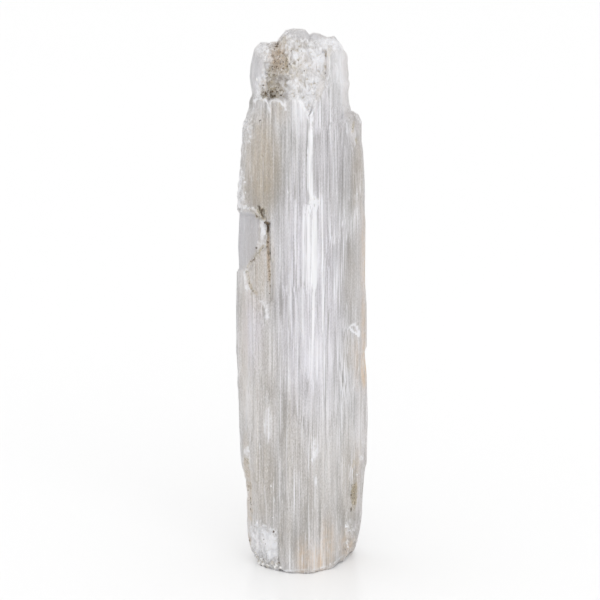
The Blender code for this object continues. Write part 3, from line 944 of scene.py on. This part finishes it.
# %% Sand in the hollows, and painted shade in the pits
SAND_STROKES = (
    (0.45, 3, ((282, 50), (284, 42), (285, 36))),
    (0.2, 1.6, ((315, 98), (311, 110), (309.5, 118))),
    (0.4, 1.3, ((279.5, 103), (281.5, 110))),
    (0.6, 1.6, ((250, 209), (254, 212), (258, 218))),
    (0.7, 1.8, ((257, 217), (262, 216), (268, 218))),
    (0.7, 2.2, (
        (267.2, 230), (268.2, 238), (267.2, 246), (269, 255), (268.2, 264), (269.8, 274), (269, 286),
    )),
    (0.6, 2.4, ((263, 246), (259, 252), (254.5, 258), (250, 262), (247, 268))),
    (0.62, 2.8, ((247, 272), (249.5, 283), (253, 291), (256, 294))),
    (0.45, 2.4, ((253, 299), (251, 296), (254, 290))),
    (0.55, 2.2, ((354, 122), (353.5, 134))),
    (0.6, 1.4, ((357, 138), (357, 144))),
    (0.56, 4.6, ((245.6, 458), (246.8, 470), (248.2, 488))),
    (0.42, 3.8, ((248.8, 488), (250.4, 500), (250.6, 518))),
    (0.4, 1.8, ((247, 516), (247, 532))),
    (0.6, 2.4, ((248.5, 534), (249.5, 546))),
    (0.18, 2.6, ((363, 342), (363.2, 386))),
    (0.35, 2.4, ((260, 561), (270, 563), (279, 563))),
)
SAND_FIELDS = (
    (0.6, 9, (
        (274, 42), (283, 41), (284, 50), (291, 58), (291, 72), (284, 80), (264, 81), (265, 70), (271, 58),
    )),
    (0.56, 8, (
        (264, 80), (269, 77), (276, 80), (283, 82), (286, 89), (282, 96), (276, 100), (262, 101), (260, 93),
        (264, 88),
    )),
    (0.4, 8, ((282, 62), (296, 62), (306, 68), (300, 78), (286, 78))),
    (0.62, 7, ((255, 210), (260, 205), (269, 209), (271, 219), (263, 222), (256, 218))),
    (0.4, 3, ((349, 538), (356, 536), (355, 546), (348, 550))),
)
SAND_OVALS = ((0.75, 354.8, 494, 6, 21, 0.5), (0.42, 354, 468, 5, 18, 0.8), (0.45, 283, 52, 5, 14, 0.6))
sand_and_hollow_shade = any_of(
    # painted shade: the measured pits of the slope get the sand colour
    0.5 * slope * pits,
    0.3 * tan_band,
    paint(SAND_STROKES, SAND_FIELDS, SAND_OVALS),
    # painted shade in the pits of the hidden breaks
    0.35 * broken * behind * pits,
)
covers("sand_and_hollow_shade", sand_and_hollow_shade)

# %% [markdown]
# ## Dirt, and painted shade in cracks
#
# The deepest cracks hold dark dirt, and each dark grain sits in a small stain of it. Some strokes are
# painted shade as well: the shadow gap along the crevice below the notch, the deep pit at its top, where
# dark grains also lie, and a thin dark line that runs down to the bright hook. The lines are as thin as the
# mesh allows, since dirt that is spread would look like paint.

# %% Dark dirt in the cracks, and painted shade in the crevice
DIRT_AND_SHADE_STROKES = (
    (0.9, 2, ((258.5, 205), (260.5, 211), (263.5, 217))),
    (0.75, 1.6, ((262.5, 207), (264.5, 213), (267, 219))),
    (0.5, 1.2, ((267.5, 211), (268, 219))),
    (0.55, 1.4, ((255, 213), (258, 217), (262, 219))),
    # dirt and painted shade in the deep pit at the top of the crevice
    (1, 2.6, ((265.5, 222.8), (268.6, 223.2))),
    (1, 2.2, ((267.8, 222), (268.2, 230.5))),
    # painted shade: the shadow gap along the crevice
    (0.3, 1.3, ((267.4, 232), (268.4, 248), (268.4, 264), (269.4, 282))),
    (0.42, 1.1, ((270.4, 232), (270.6, 262), (270.4, 306))),
    (0.4, 1.2, ((268.2, 298), (268.2, 312))),
    # painted shade: a thin dark line that runs down to the bright hook
    (0.3, 1.4, ((306.6, 132), (306.8, 168), (306.6, 206))),
)
DIRT_FIELDS = ((0.6, 7, ((260, 91), (269, 89), (276, 93), (276, 99), (268, 100), (260, 98))),)
dirt_and_shade = paint(DIRT_AND_SHADE_STROKES, DIRT_FIELDS, halos(DARK_GRAINS, 0.9, (1.7, 0.5), (1.8, 0.6)))
covers("dirt_and_shade", dirt_and_shade)

# %% [markdown]
# ## Casts
#
# Clear gypsum isn't colourless to the eye. Dust in it gives a beige cast, thin clear laths look lilac-grey,
# the clean plane in the notch is cool, and iron has stained the foot and the right edge. Four wide and soft
# masks carry them, so that the streaks still show through.

# %% Cool, beige, lilac and warm
COOL_FIELDS = (
    (1, 3, NOTCH_PLANE),
    (0.6, 3, ((287, 30), (305, 30), (318, 33), (318, 39), (300, 40), (288, 37))),
    (0.5, 3, ((250, 56), (262, 58), (262, 76), (255, 96), (250, 84))),
)
BEIGE_OVALS = (
    (1, 262, 165, 26, 74, 0.7), (0.55, 256, 270, 20, 80, 0.7), (0.35, 262, 400, 26, 130, 0.7),
    (0.5, 262, 480, 24, 70, 0.7), (0.6, 358, 180, 10, 70, 0.7), (0.3, 352, 280, 16, 60, 0.8),
    (0.3, 285, 530, 16, 60, 0.8), (0.4, 290, 62, 34, 44, 0.6), (0.5, 350, 480, 18, 80, 0.8),
    (0.6, 244, 345, 8, 120, 0.8), (0.6, 270, 270, 8, 60, 0.8), (0.35, 292, 450, 20, 90, 0.8),
    (0.3, 320, 490, 44, 110, 0.8), (0.5, 278, 112, 16, 24, 0.8), (0.6, 271, 88, 16, 18, 0.6),
    (0.7, 261, 274, 9, 28, 0.5), (0.6, 246, 186, 8, 40, 0.8), (0.5, 348, 352, 8, 30, 0.8),
    (0.5, 357, 468, 9, 26, 0.8), (0.6, 246, 444, 6, 26, 0.8), (0.5, 256, 240, 6, 26, 0.8),
)
# Each band is a share, its middle across, its half width, its foot and its top, in millimetres
BACK_BEIGE = ((0.6, -13, 12, -30, 120), (0.6, 16, 9, 110, 250))
LILAC_OVALS = ((0.8, 312, 290, 50, 180, 0.7), (0.5, 330, 150, 40, 80, 0.7), (0.9, 252, 330, 16, 56, 0.7))
WARM_OVALS = (
    (1, 304, 560, 14, 34, 0.9), (1, 320, 562, 18, 24, 0.9), (0.9, 328, 545, 12, 40, 0.9),
    (0.5, 356, 360, 7, 36, 0.8), (0.8, 346, 545, 12, 24, 0.8), (0.7, 363.5, 256, 5, 70, 0.8),
    (0.8, 363.5, 330, 4, 60, 0.8), (0.3, 358, 470, 6, 50, 0.8), (0.35, 249, 505, 5, 40, 0.7),
    (0.3, 245.5, 474, 5, 26, 0.7), (0.3, 249, 540, 5, 20, 0.7), (0.65, 278, 56, 14, 26, 0.8),
    (0.6, 302, 553, 12, 26, 0.8), (0.7, 268.4, 258, 2.6, 40, 0.6), (1.3, 364, 367, 4.5, 30, 0.6),
    (0.9, 249, 541, 3, 8, 0.7),
)
cool = paint(fields=COOL_FIELDS)
beige = any_of(
    0.3 * tan_band,
    paint(ovals=BEIGE_OVALS),
    0.3 * behind,
    *(share * back_band(*band) for share, *band in BACK_BEIGE),
)
lilac = any_of(paint(ovals=LILAC_OVALS), 0.3 * behind)
warm = paint(ovals=WARM_OVALS)
for name, mask in (("cool", cool), ("beige", beige), ("lilac", lilac), ("warm", warm)):
    covers(name, mask)

# %% [markdown]
# ## Broad light and shade
#
# Along a fibre bundle the milkiness comes and goes, in soft patches much longer than wide. One noise would
# put them anywhere. Here they are many weak ovals that are added up, some lighter and some darker, so that
# the bright middle ridge and the grey sides stay where they are on this crystal. They are partly milkiness
# and partly painted light and shade: the lit middle ridge, the shaded side facets, shade under lips and in
# hollows, and light painted over shadowed slots.

# %% Tones: milkiness, and painted light and shade
# Each light or shade is a share to add, its place in the view, and its half width and half height, in
# pixels
LIGHT_AND_SHADE_OVALS = (
    (0.2, 309, 250, 13, 110), (0.22, 309, 370, 20, 90), (0.5, 344.5, 75, 6, 56), (0.1, 266, 370, 18, 70),
    (0.12, 258, 70, 8, 30), (-0.1, 262, 170, 26, 50), (-0.06, 350, 240, 16, 120),
    (-0.1, 268, 470, 26, 60), (0.28, 300, 115, 14, 34), (0.2, 322, 62, 12, 30), (-0.1, 332.5, 62, 7, 22),
    (0.4, 326, 60, 3, 16), (-0.24, 281, 175, 12, 48), (-0.18, 352, 165, 14, 56), (0.15, 333, 320, 12, 70),
    (-0.12, 349, 255, 12, 26), (0.16, 249, 338, 14, 56), (0.12, 246, 360, 10, 60),
    (0.18, 325, 425, 14, 100), (0.14, 356, 420, 10, 60), (0.12, 356, 432, 12, 40),
    (-0.22, 306, 506, 9, 36), (0.2, 318, 556, 16, 28), (0.16, 316, 545, 14, 30),
    (-0.18, 348, 538, 12, 30), (0.18, 248, 478, 12, 40), (0.25, 305, 80, 22, 50), (0.2, 246, 278, 9, 26),
    (0.18, 318, 210, 10, 44), (-0.15, 343, 132, 9, 26), (0.2, 336, 60, 18, 34), (0.16, 292, 545, 16, 36),
    (-0.12, 282, 300, 10, 30), (-0.35, 252, 102, 6, 12), (-0.12, 342, 180, 7, 40),
    (-0.1, 342, 190, 8, 40), (0.14, 270, 265, 8, 60), (-0.14, 282, 430, 8, 44), (-0.16, 282, 520, 9, 30),
    (-0.14, 252, 195, 12, 26), (0.2, 268, 66, 8, 30), (0.16, 276, 82, 12, 14), (0.14, 294, 380, 8, 40),
    (-0.16, 294, 535, 9, 34), (-0.16, 294, 540, 10, 26), (0.16, 248, 396, 9, 40), (0.1, 246, 396, 6, 30),
    (0.12, 318, 360, 10, 36), (0.12, 316, 262, 10, 40), (0.14, 318, 262, 7, 40), (0.2, 364, 362, 6, 40),
    (0.2, 268, 424, 6, 24), (-0.24, 270, 194, 10, 30), (-0.16, 258, 205, 10, 20), (0.46, 306, 236, 8, 32),
    (0.15, 294, 250, 12, 62), (0.12, 306, 264, 6, 30), (0.14, 306, 254, 8, 30), (0.16, 318, 118, 8, 24),
    (-0.18, 294, 136, 8, 26), (0.16, 294, 132, 8, 20), (-0.16, 306, 540, 9, 24), (-0.18, 282, 545, 9, 28),
    (-0.18, 354, 530, 9, 30), (-0.22, 354, 410, 8, 28), (-0.16, 270, 392, 9, 26),
    (-0.14, 282, 396, 8, 26), (-0.14, 318, 396, 9, 22), (-0.3, 306, 390, 7, 26),
    (-0.25, 354.5, 119, 3, 8), (-0.16, 342, 564, 10, 16), (0.16, 268, 84, 8, 10), (0.14, 270, 84, 8, 12),
    (0.24, 284, 88, 9, 12), (0.1, 282, 84, 7, 10), (-0.14, 318, 182, 6, 24), (-0.16, 294, 262, 7, 50),
    (0.16, 318, 350, 7, 22), (0.14, 330, 362, 7, 30), (-0.16, 342, 514, 9, 30), (-0.12, 342, 510, 8, 30),
    (-0.12, 354, 490, 6, 20), (0.14, 270, 540, 7, 14), (-0.12, 318, 540, 9, 20),
    (-0.24, 340, 310, 17, 110), (-0.2, 353, 462, 9, 60), (-0.06, 333, 165, 12, 60),
    (-0.16, 306, 424, 8, 20), (-0.12, 318, 424, 8, 20), (0.2, 312, 62, 16, 14), (0.16, 330, 350, 7, 24),
    (-0.14, 294, 492, 6, 18), (0.24, 354, 134, 6, 14), (0.12, 306, 134, 5, 14), (0.12, 330, 158, 8, 18),
    (-0.14, 282, 134, 8, 20), (0.22, 325, 96, 5, 14), (0.2, 319, 84, 8, 14), (-0.14, 354, 206, 6, 12),
    (-0.1, 354, 204, 6, 14), (-0.14, 330, 562, 18, 8), (0.16, 324, 60, 12, 14), (0.14, 306, 492, 6, 14),
    (0.12, 258, 432, 9, 40), (0.3, 341, 68, 8, 24), (-0.16, 366, 492, 5, 16), (-0.1, 366, 492, 5, 14),
    (-0.16, 354, 516, 8, 14), (-0.3, 269, 566, 8, 6), (0.16, 342, 324, 7, 12), (-0.1, 330, 204, 7, 14),
    (-0.12, 258, 60, 6, 14), (0.1, 270, 60, 6, 10), (-0.08, 330, 420, 7, 16), (0.1, 246, 316, 6, 60),
)
# Each band is a share to add, its middle across, its half width, its foot and its top, in millimetres
BACK_LIGHT_AND_SHADE_BANDS = (
    (0.24, 0, 12, 20, 210), (-0.2, -9, 3, 10, 150), (-0.2, 11, 3, 50, 230), (0.2, 18, 5, 20, 160),
    (0.2, -17, 5, 110, 230),
)
TONE_EDGE = 0.9
BACK_LIFT = 0.06

tones_light_and_shade = sum(share * skin.spot(*oval, TONE_EDGE) for share, *oval in LIGHT_AND_SHADE_OVALS)
tones_light_and_shade += sum(share * back_band(*band) for share, *band in BACK_LIGHT_AND_SHADE_BANDS) + BACK_LIFT * hidden
print("tones run from", round(float(tones_light_and_shade.min()), 2), "to", round(float(tones_light_and_shade.max()), 2))

# %% [markdown]
# ## The marks become attributes
#
# A material can't see masks in numpy, but it can read named attributes of the mesh. One number for each
# corner is fine enough here, because most faces are smaller than a square millimetre, and the material's
# noise breaks up every edge.

# %% Store the marks on the mesh
MARKS = {
    "frost_and_highlights": frost_and_highlights, "gleam": gleam, "sand_and_hollow_shade": sand_and_hollow_shade, "dirt_and_shade": dirt_and_shade, "cool": cool, "beige": beige, "warm": warm,
    "lilac": lilac, "tone_light_and_shade": tones_light_and_shade,
}
for name, mask in MARKS.items():
    attribute = blade.data.attributes.new(name, "FLOAT", "POINT")
    attribute.data.foreach_set("value", mask.astype(np.float32))
print("attributes stored:", ", ".join(MARKS))

# %% [markdown]
# ## Streaks of the fibrous gypsum
#
# Light enters a selenite blade and runs along its fibres. Some are clear, some are milky, and thin gaps
# between them shine white. All of it is noise, read in a space that is stretched along the crystal. An
# image of streaks would repeat or end somewhere, and noise doesn't.

# %% Noise along the crystal
gypsum = Finish("fibrous_selenite")
in_mm = gypsum.node(
    "ShaderNodeMapping", {}, {"Vector": gypsum.place(), "Scale": (1 / MM, 1 / MM, 1 / MM)}
)


def streaks(across, along, shift, detail=1.0):
    """Noise whose lumps are so wide and so long, in millimetres. Each shift gives another noise."""
    space = gypsum.node("ShaderNodeMapping", {}, {
        "Vector": in_mm, "Scale": (1 / across, 1 / across, 1 / along),
        "Location": (shift, 2.0 * shift, 3.0 * shift),
    })
    return gypsum.node(
        "ShaderNodeTexNoise", {}, {"Vector": space, "Scale": 1.0, "Detail": detail, "Roughness": 0.5}
    )


def painted(name):
    """A mark that is stored on the mesh."""
    return gypsum.node("ShaderNodeAttribute", {"attribute_name": name}, output=2)


def hairlines(field, width):
    """Thin lines where a noise passes its middle value."""
    return gypsum.between(abs(field - 0.5), width, 0.0)


laths = streaks(2.4, 220.0, shift=3.0)
fibres = streaks(0.9, 70.0, shift=11.0)
lines = streaks(0.5, 40.0, shift=23.0)
hairs = streaks(0.25, 26.0, shift=29.0)
mottle = streaks(0.4, 0.9, shift=37.0, detail=2.0)
grains = streaks(0.9, 0.9, shift=41.0, detail=3.0)
patches = streaks(2.2, 2.6, shift=53.0, detail=3.0)
breaks = gypsum.between(streaks(1.6, 18.0, shift=61.0, detail=2.0), 0.44, 0.56)
print("noises so far:", sum(node.type == "TEX_NOISE" for node in gypsum.tree.nodes))

# %% [markdown]
# ## From streaks to one tone
#
# Between the fibres there are fine white threads and grey gaps, which start and stop. Beige and cool places
# are calmer than the rest. All streaks add up to one tone, which is then turned into colour. So light and
# dark stay in one place, where they can be balanced.

# %% Threads, gaps and the tone
threads = hairlines(streaks(1.8, 160.0, shift=71.0), 0.026) * breaks
gaps = hairlines(streaks(1.6, 160.0, shift=83.0), 0.024) * (1.0 - breaks)
calm = (1.0 - painted("beige") * 0.48) * (1.0 - painted("cool") * 0.7)
crisp = gypsum.between(hairs, 0.4, 0.6) * 0.14 - 0.07
streak = (0.03 * fibres + 0.1 * lines + 0.55 * hairs + 0.02 * laths - 0.35 + crisp) * calm
sugar = (mottle - 0.5) * (0.55 + painted("beige") * 0.85)
tone_light_and_shade = streak + sugar + 0.56 + painted("tone_light_and_shade")


def frosted(mask, low=0.25, high=0.95):
    """A share from a painted mask whose edge and middle are broken up by grains."""
    return gypsum.between(mask + 1.0 * patches + 0.9 * grains - 0.95, low, high)


frost_and_highlight_share = frosted(painted("frost_and_highlights"), 0.3) * 0.9

# %% [markdown]
# ## Colour in coats
#
# The colour starts as grey to pale milk by the tone, which also holds painted light and shade. Then come
# thin coats, from the deepest in the crystal to the last on its skin: casts, gaps and threads, gleam, frost
# with its painted highlights, and at last soil and dirt, which also carry painted shade in hollows and
# cracks. Each coat is a colour and the share of the skin that it covers, so coats can be reordered like
# layers of glaze.

# %% Colours and coats
GREY, PALE, WHITE = rgb(155, 152, 148), rgb(236, 235, 237), rgb(240, 240, 243)
LILAC_GREY, LILAC_PALE, GLINT = rgb(154, 149, 152), rgb(236, 234, 240), rgb(249, 249, 254)
BEIGE, WARM, COOL = rgb(188, 173, 150), rgb(216, 186, 148), rgb(194, 193, 198)
SAND_AND_SHADE, CREAM, DIRT_AND_SHADE, RUST = rgb(160, 144, 106), rgb(200, 188, 164), rgb(78, 62, 34), rgb(190, 160, 138)

grey_milk = gypsum.blend(GREY, LILAC_GREY, painted("lilac"))
pale_milk = gypsum.blend(PALE, LILAC_PALE, painted("lilac"))
milk = gypsum.blend(grey_milk, pale_milk, gypsum.between(tone_light_and_shade, 0.0, 1.0))
glint = painted("gleam") + 0.15 * fibres + 0.45 * lines + 1.7 * hairs - 1.15
soil_and_hollow_shade = gypsum.blend(SAND_AND_SHADE, CREAM, gypsum.between(patches, 0.42, 0.6))
soil_and_hollow_shade = gypsum.blend(soil_and_hollow_shade, RUST, painted("warm") * 0.7)
speckle = streaks(0.5, 0.55, shift=97.0) + 0.5 * patches + 0.35 * painted("sand_and_hollow_shade")
specks = gypsum.between(speckle, 1.05, 1.14) * gypsum.between(painted("sand_and_hollow_shade"), 0.3, 0.6)
COATS = (
    (BEIGE, painted("beige") * gypsum.between(fibres * 0.4 + patches * 0.6, -0.4, 1.2) * 0.95),
    (WARM, painted("warm") * gypsum.between(lines * 0.4 + patches * 0.6, 0.1, 0.9) * 0.74),
    (COOL, painted("cool") * 0.6),
    (GREY, gaps * calm * 0.55),
    (WHITE, threads * calm * 0.7),
    (GLINT, gypsum.between(glint, 0.3, 0.75) * 0.95),
    # painted glints: small white sparkles
    (WHITE, gypsum.between(streaks(0.35, 0.6, shift=101.0), 0.64, 0.72) * 0.3),
    (WHITE, frost_and_highlight_share),
    (soil_and_hollow_shade, frosted(painted("sand_and_hollow_shade")) * 0.9),
    (DIRT_AND_SHADE, specks * 0.75),
    (DIRT_AND_SHADE, frosted(painted("dirt_and_shade"), 0.35)),
)
for colour, share in COATS:
    milk = gypsum.blend(milk, colour, share)
print("coats on the milk:", len(COATS))

# %% [markdown]
# ## Milky and clear gypsum
#
# Milky fibres scatter light under the skin, and clear ones let it through. So two shaders are mixed: one
# with scattering over two millimetres, and one with plain transmission, both with the refraction of gypsum.
# The clear share follows the hairs and gives way to frost and its painted highlights. One fine bump makes
# both catch light along the fibres.

# %% The blade's material
GYPSUM_IOR = 1.52
SCATTER = {"Subsurface Radius": (1.0, 0.95, 0.9), "IOR": GYPSUM_IOR}

height = lines * 0.7 + hairs * 0.4 + painted("frost_and_highlights") * grains * 1.6
relief = gypsum.node("ShaderNodeBump", {}, {"Height": height, "Distance": 0.25 * MM, "Strength": 0.6})
milky = gypsum.node("ShaderNodeBsdfPrincipled", {"subsurface_method": "RANDOM_WALK"}, {
    "Base Color": milk, "Roughness": 0.42, "Subsurface Weight": 0.6, "Subsurface Scale": 2.0 * MM,
    "Normal": relief, **SCATTER,
})
clear = gypsum.node("ShaderNodeBsdfPrincipled", {}, {
    "Base Color": rgb(235, 233, 232), "Roughness": 0.28, "IOR": GYPSUM_IOR, "Transmission Weight": 1.0,
    "Normal": relief,
})
clearness = gypsum.between(hairs, 0.62, 0.36) * 0.2 * (1.0 - frost_and_highlight_share)
blade_shader = gypsum.node("ShaderNodeMixShader", {}, {0: clearness, 1: milky, 2: clear})


def dress(piece, material):
    """Gives a piece this material alone."""
    piece.data.materials.clear()
    piece.data.materials.append(material)


dress(blade, gypsum.surface(blade_shader))
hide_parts("selenite_blade")
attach(blade, "root")

# %% [markdown]
# ## Three grains to copy
#
# A broken selenite end isn't smooth: it is a heap of splinters and sugary crumbs that still hang on. Gypsum
# splits along flat planes, so a grain is a small ball that is stretched and then cut flat on three sides.
# One crumb, one splinter and one flake are enough, because their copies are turned and sized at random.

# %% Model one crumb, one splinter and one flake
def cut_flat(place, normal):
    """Cuts the mesh in edit mode by a plane, drops the side that the normal points to, and fills in."""
    bpy.ops.mesh.select_all(action="SELECT")
    bpy.ops.mesh.bisect(plane_co=place, plane_no=normal, use_fill=True, clear_outer=True)


def grain_shape(name, stretch, cuts):
    """A small stone of size 1 at the origin, stretched and cut by planes given as (distance, normal)."""
    bpy.ops.object.select_all(action="DESELECT")
    bpy.ops.mesh.primitive_ico_sphere_add(subdivisions=1, radius=0.5)
    grain = bpy.context.object
    grain.name = name
    bpy.ops.object.mode_set(mode="EDIT")
    bpy.ops.mesh.select_all(action="SELECT")
    bpy.ops.transform.resize(value=stretch)
    for distance, normal in cuts:
        direction = Vector(normal).normalized()
        cut_flat(direction * distance, direction)
    bpy.ops.mesh.select_all(action="SELECT")
    bpy.ops.mesh.normals_make_consistent(inside=False)
    bpy.ops.object.mode_set(mode="OBJECT")
    print(name, "has", len(grain.data.polygons), "faces")
    return grain


CRUMB = grain_shape(
    "crumb", (1.0, 0.9, 1.1), ((0.32, (1, 0.2, 0.3)), (0.3, (-0.4, 1, 0.2)), (0.34, (0, -0.3, 1)))
)
SPLINTER = grain_shape(
    "splinter", (0.45, 0.4, 2.2), ((0.13, (1, 0.3, 0)), (0.6, (0.5, 0.2, 1)), (0.7, (0.3, -0.6, -1)))
)
FLAKE = grain_shape(
    "flake_grain", (1.2, 0.34, 1.5), ((0.1, (0.1, 1, 0)), (0.4, (1, 0, 0.4)), (0.45, (-0.3, 0, -1)))
)

# %% [markdown]
# ## Copies in one heap
#
# Hundreds of grains as objects would be slow and hard to handle. So each copy gets its size, turn and place
# in its own mesh, and all copies of one kind are joined in one piece. It stays inside the solid's box as
# well.

# %% Copy, join and keep
def copy_of(name, shape, middle, lean, size):
    """A copy of a grain shape with its own mesh, with its middle in metres and its size in millimetres."""
    copy = bpy.data.objects.new(name, shape.data.copy())
    turned = lean.to_matrix().to_4x4()
    copy.data.transform(Matrix.Translation(middle) @ turned @ Matrix.Scale(size * MM, 4))
    scene.collection.objects.link(copy)
    return copy


def joined(name, copies):
    """Joins copies in one piece that stays inside the solid's box."""
    bpy.ops.object.select_all(action="DESELECT")
    for copy in copies:
        copy.select_set(True)
    bpy.context.view_layer.objects.active = copies[0]
    bpy.ops.object.join()
    heap = bpy.context.object
    heap.name = name
    keep_in_box(heap, corners_of(heap))
    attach(heap, "root")
    print(name, "is", len(copies), "grains with", len(heap.data.polygons), "faces")
    return heap


print("heaps stay within", [round(1000 * side, 1) for side in solid_high - solid_low], "mm")

# %% [markdown]
# ## The ground that grains lie on
#
# Loose grains lie anywhere on a break. Corners alone would put them on the mesh's grid, so a place is
# picked inside a face. A face is picked more often where the mask is high and where it is large.

# %% Ground
class Ground:
    """The faces of a piece, as places to put grains on."""

    def __init__(self, piece):
        mesh = piece.data
        mesh.calc_loop_triangles()
        count = len(mesh.loop_triangles)
        corners = np.empty(3 * count, np.int32)
        mesh.loop_triangles.foreach_get("vertices", corners)
        areas = np.empty(count, np.float32)
        mesh.loop_triangles.foreach_get("area", areas)
        self.corners = corners.reshape(-1, 3)
        self.areas = areas.astype(float)
        self.places = corners_of(piece)
        self.normals = normals_of(piece)

    def spread(self, mask, count, chance):
        """Random places and normals, as many as count, where the mask is high."""
        weights = self.areas * mask[self.corners].mean(axis=1) ** 2
        picked = chance.choice(len(weights), size=count, p=weights / weights.sum())
        shares = chance.dirichlet((1.0, 1.0, 1.0), size=count)
        corners = self.corners[picked]
        places = (self.places[corners] * shares[:, :, None]).sum(axis=1)
        return places, self.normals[corners].mean(axis=1)


ground = Ground(blade)
print("the ground has", len(ground.areas), "triangles on", round(1e4 * ground.areas.sum(), 1), "cm2")

# %% [markdown]
# ## Crumbs and splinters on the breaks
#
# Loose gypsum lies thickest on the frosted crests, and hardly where sand fills the hollows. So the copies
# are strewn by masks made from those. Each copy sinks in a little, or it would seem to float. The random
# numbers have a fixed seed, so that each run gives the same heap.

# %% Strew copies over a mask
def strewn(name, shapes, mask, count, sizes, seed, sink, tilt=0.5):
    """Copies of grain shapes on the blade where the mask is high, joined in one piece."""
    chance = np.random.default_rng(seed)
    places, normals = ground.spread(mask, count, chance)
    copies = []
    for place, normal in zip(places, normals):
        size = sizes[0] + (sizes[1] - sizes[0]) * chance.random() ** 2
        shape = shapes[chance.integers(len(shapes))]
        lean = (chance.normal(0, tilt), chance.normal(0, tilt), chance.uniform(0, math.tau))
        middle = Vector(place - sink * size * normal) * MM
        copies.append(copy_of(name, shape, middle, Euler(lean), size))
    return joined(name, copies)


CHIP_OUTLINE = ((250, 528), (256, 522), (263, 523), (279, 532), (279, 558), (262, 558), (252, 550))

sugar_zone = any_of(0.8 * frost_and_highlights * broken_in_front(skin), 0.6 * broken_elsewhere(skin)) * (1.0 - 0.7 * sand_and_hollow_shade)
sugar_heap = strewn(
    "sugary_crumbs", (CRUMB, FLAKE, CRUMB), sugar_zone, count=620, sizes=(0.5, 1.6), seed=7, sink=0.35
)
chip_zone = skin.within(CHIP_OUTLINE, 3.0)
chip_heap = strewn("chip_crumbs", (CRUMB, FLAKE), chip_zone, count=240, sizes=(0.5, 1.5), seed=23, sink=0.4)
edge_zone = any_of(
    skin.within(LEFT_EDGE_HIGH, 4.0), skin.within(LEFT_EDGE_LOW, 4.0), skin.line(NOTCH_RIM, 2.0),
)
splinter_heap = strewn(
    "white_splinters", (SPLINTER,), edge_zone, count=120, sizes=(0.5, 1.2), seed=11, sink=0.15, tilt=0.16
)

# %% [markdown]
# ## Grains in their own places
#
# The single dark and bright grains, and the small stones stuck under the chipped corner of the foot, are
# seen one by one. So each is put where a ray from the camera through its spot meets the blade. A dark grain
# is a clump of three small ones, as earth is.

# %% Place single grains and the foot stones
STONES = (
    (258, 557, 2.6), (260, 562, 3.4), (263.5, 565, 3.4), (268, 566, 2.8), (262, 559.5, 2.2),
    (272.5, 563, 3), (277, 564.5, 2.6), (256, 553, 2), (275, 567, 2.2), (266.5, 561, 1.8),
    (280.5, 567.5, 1.8),
)
CLUMP_SIZES = (0.35, 0.85)
CLUMP_SPREAD = 0.5

skin_tree = BVHTree.FromObject(blade, bpy.context.evaluated_depsgraph_get())


def ray_through(across, down):
    """The direction from the camera through a point of the view."""
    right = float(across - VIEW_PIXELS / 2) / FOCAL_PIXELS
    up = float(VIEW_PIXELS / 2 - down) / FOCAL_PIXELS
    return (camera_forward + right * camera_right + up * camera_up).normalized()


def placed(name, shape, spots, seed, sink, clump=1):
    """Clumps of grains where rays through spots of the view meet the blade, joined in one piece."""
    chance = np.random.default_rng(seed)
    copies = []
    for across, down, whole in np.repeat(spots, clump, axis=0):
        size = whole * (1.0 if clump == 1 else chance.uniform(*CLUMP_SIZES))
        around = chance.normal(0.0, 0.0 if clump == 1 else CLUMP_SPREAD * whole, 2)
        towards = ray_through(across + around[0], down + around[1])
        place, normal, _, _ = skin_tree.ray_cast(camera_place, towards)
        if place is None:
            continue
        middle = place - float(sink * size * MM) * normal
        copies.append(copy_of(name, shape, middle, Euler(chance.uniform(0, math.tau, 3)), size))
    return joined(name, copies)


grit = placed("brown_grit", CRUMB, DARK_GRAINS, seed=13, sink=0.3, clump=3)
sparks = placed("bright_crumbs", FLAKE, BRIGHT_GRAINS, seed=17, sink=0.25)
stones = placed("foot_stones", CRUMB, STONES, seed=19, sink=0.28)
for shape in (CRUMB, SPLINTER, FLAKE):
    bpy.data.objects.remove(shape)

# %% [markdown]
# ## The finish of the grains
#
# Loose gypsum is whiter and more matt than the blade, the stones are dull, and the grit is dark earth. Each
# grain is too small for a pattern of its own. So a noise over the whole heap makes one grain paler than the
# next, between two colours.

# %% Finishes of crumbs, stones and grit
def grain_finish(name, scale, detail, dark, light, edges, sockets, settings=None):
    """A finish that changes from dark to light where a noise passes from one edge to the other."""
    finish = Finish(name)
    noise = finish.node(
        "ShaderNodeTexNoise", {}, {"Vector": finish.place(), "Scale": scale, "Detail": detail}
    )
    colour = finish.blend(dark, light, finish.between(noise, *edges))
    shader = finish.node("ShaderNodeBsdfPrincipled", settings, {"Base Color": colour, **sockets})
    return finish.surface(shader)


sugary = grain_finish(
    "sugary_gypsum", 260.0, 2.0, rgb(222, 219, 216), rgb(244, 243, 244), (0.35, 0.62),
    {"Roughness": 0.3, "Subsurface Weight": 0.3, "Subsurface Scale": 1.0 * MM, **SCATTER},
    {"subsurface_method": "RANDOM_WALK"},
)
for heap in (sugar_heap, splinter_heap, chip_heap, sparks):
    dress(heap, sugary)
dress(stones, grain_finish(
    "grey_matrix", 700.0, 3.0, rgb(196, 191, 184), rgb(238, 237, 235), (0.4, 0.6), {"Roughness": 0.7}
))
dress(grit, grain_finish(
    "dark_earth", 420.0, 1.0, rgb(70, 56, 38), rgb(128, 108, 80), (0.4, 0.62), {"Roughness": 0.8}
))

# %% [markdown]
# ## The end
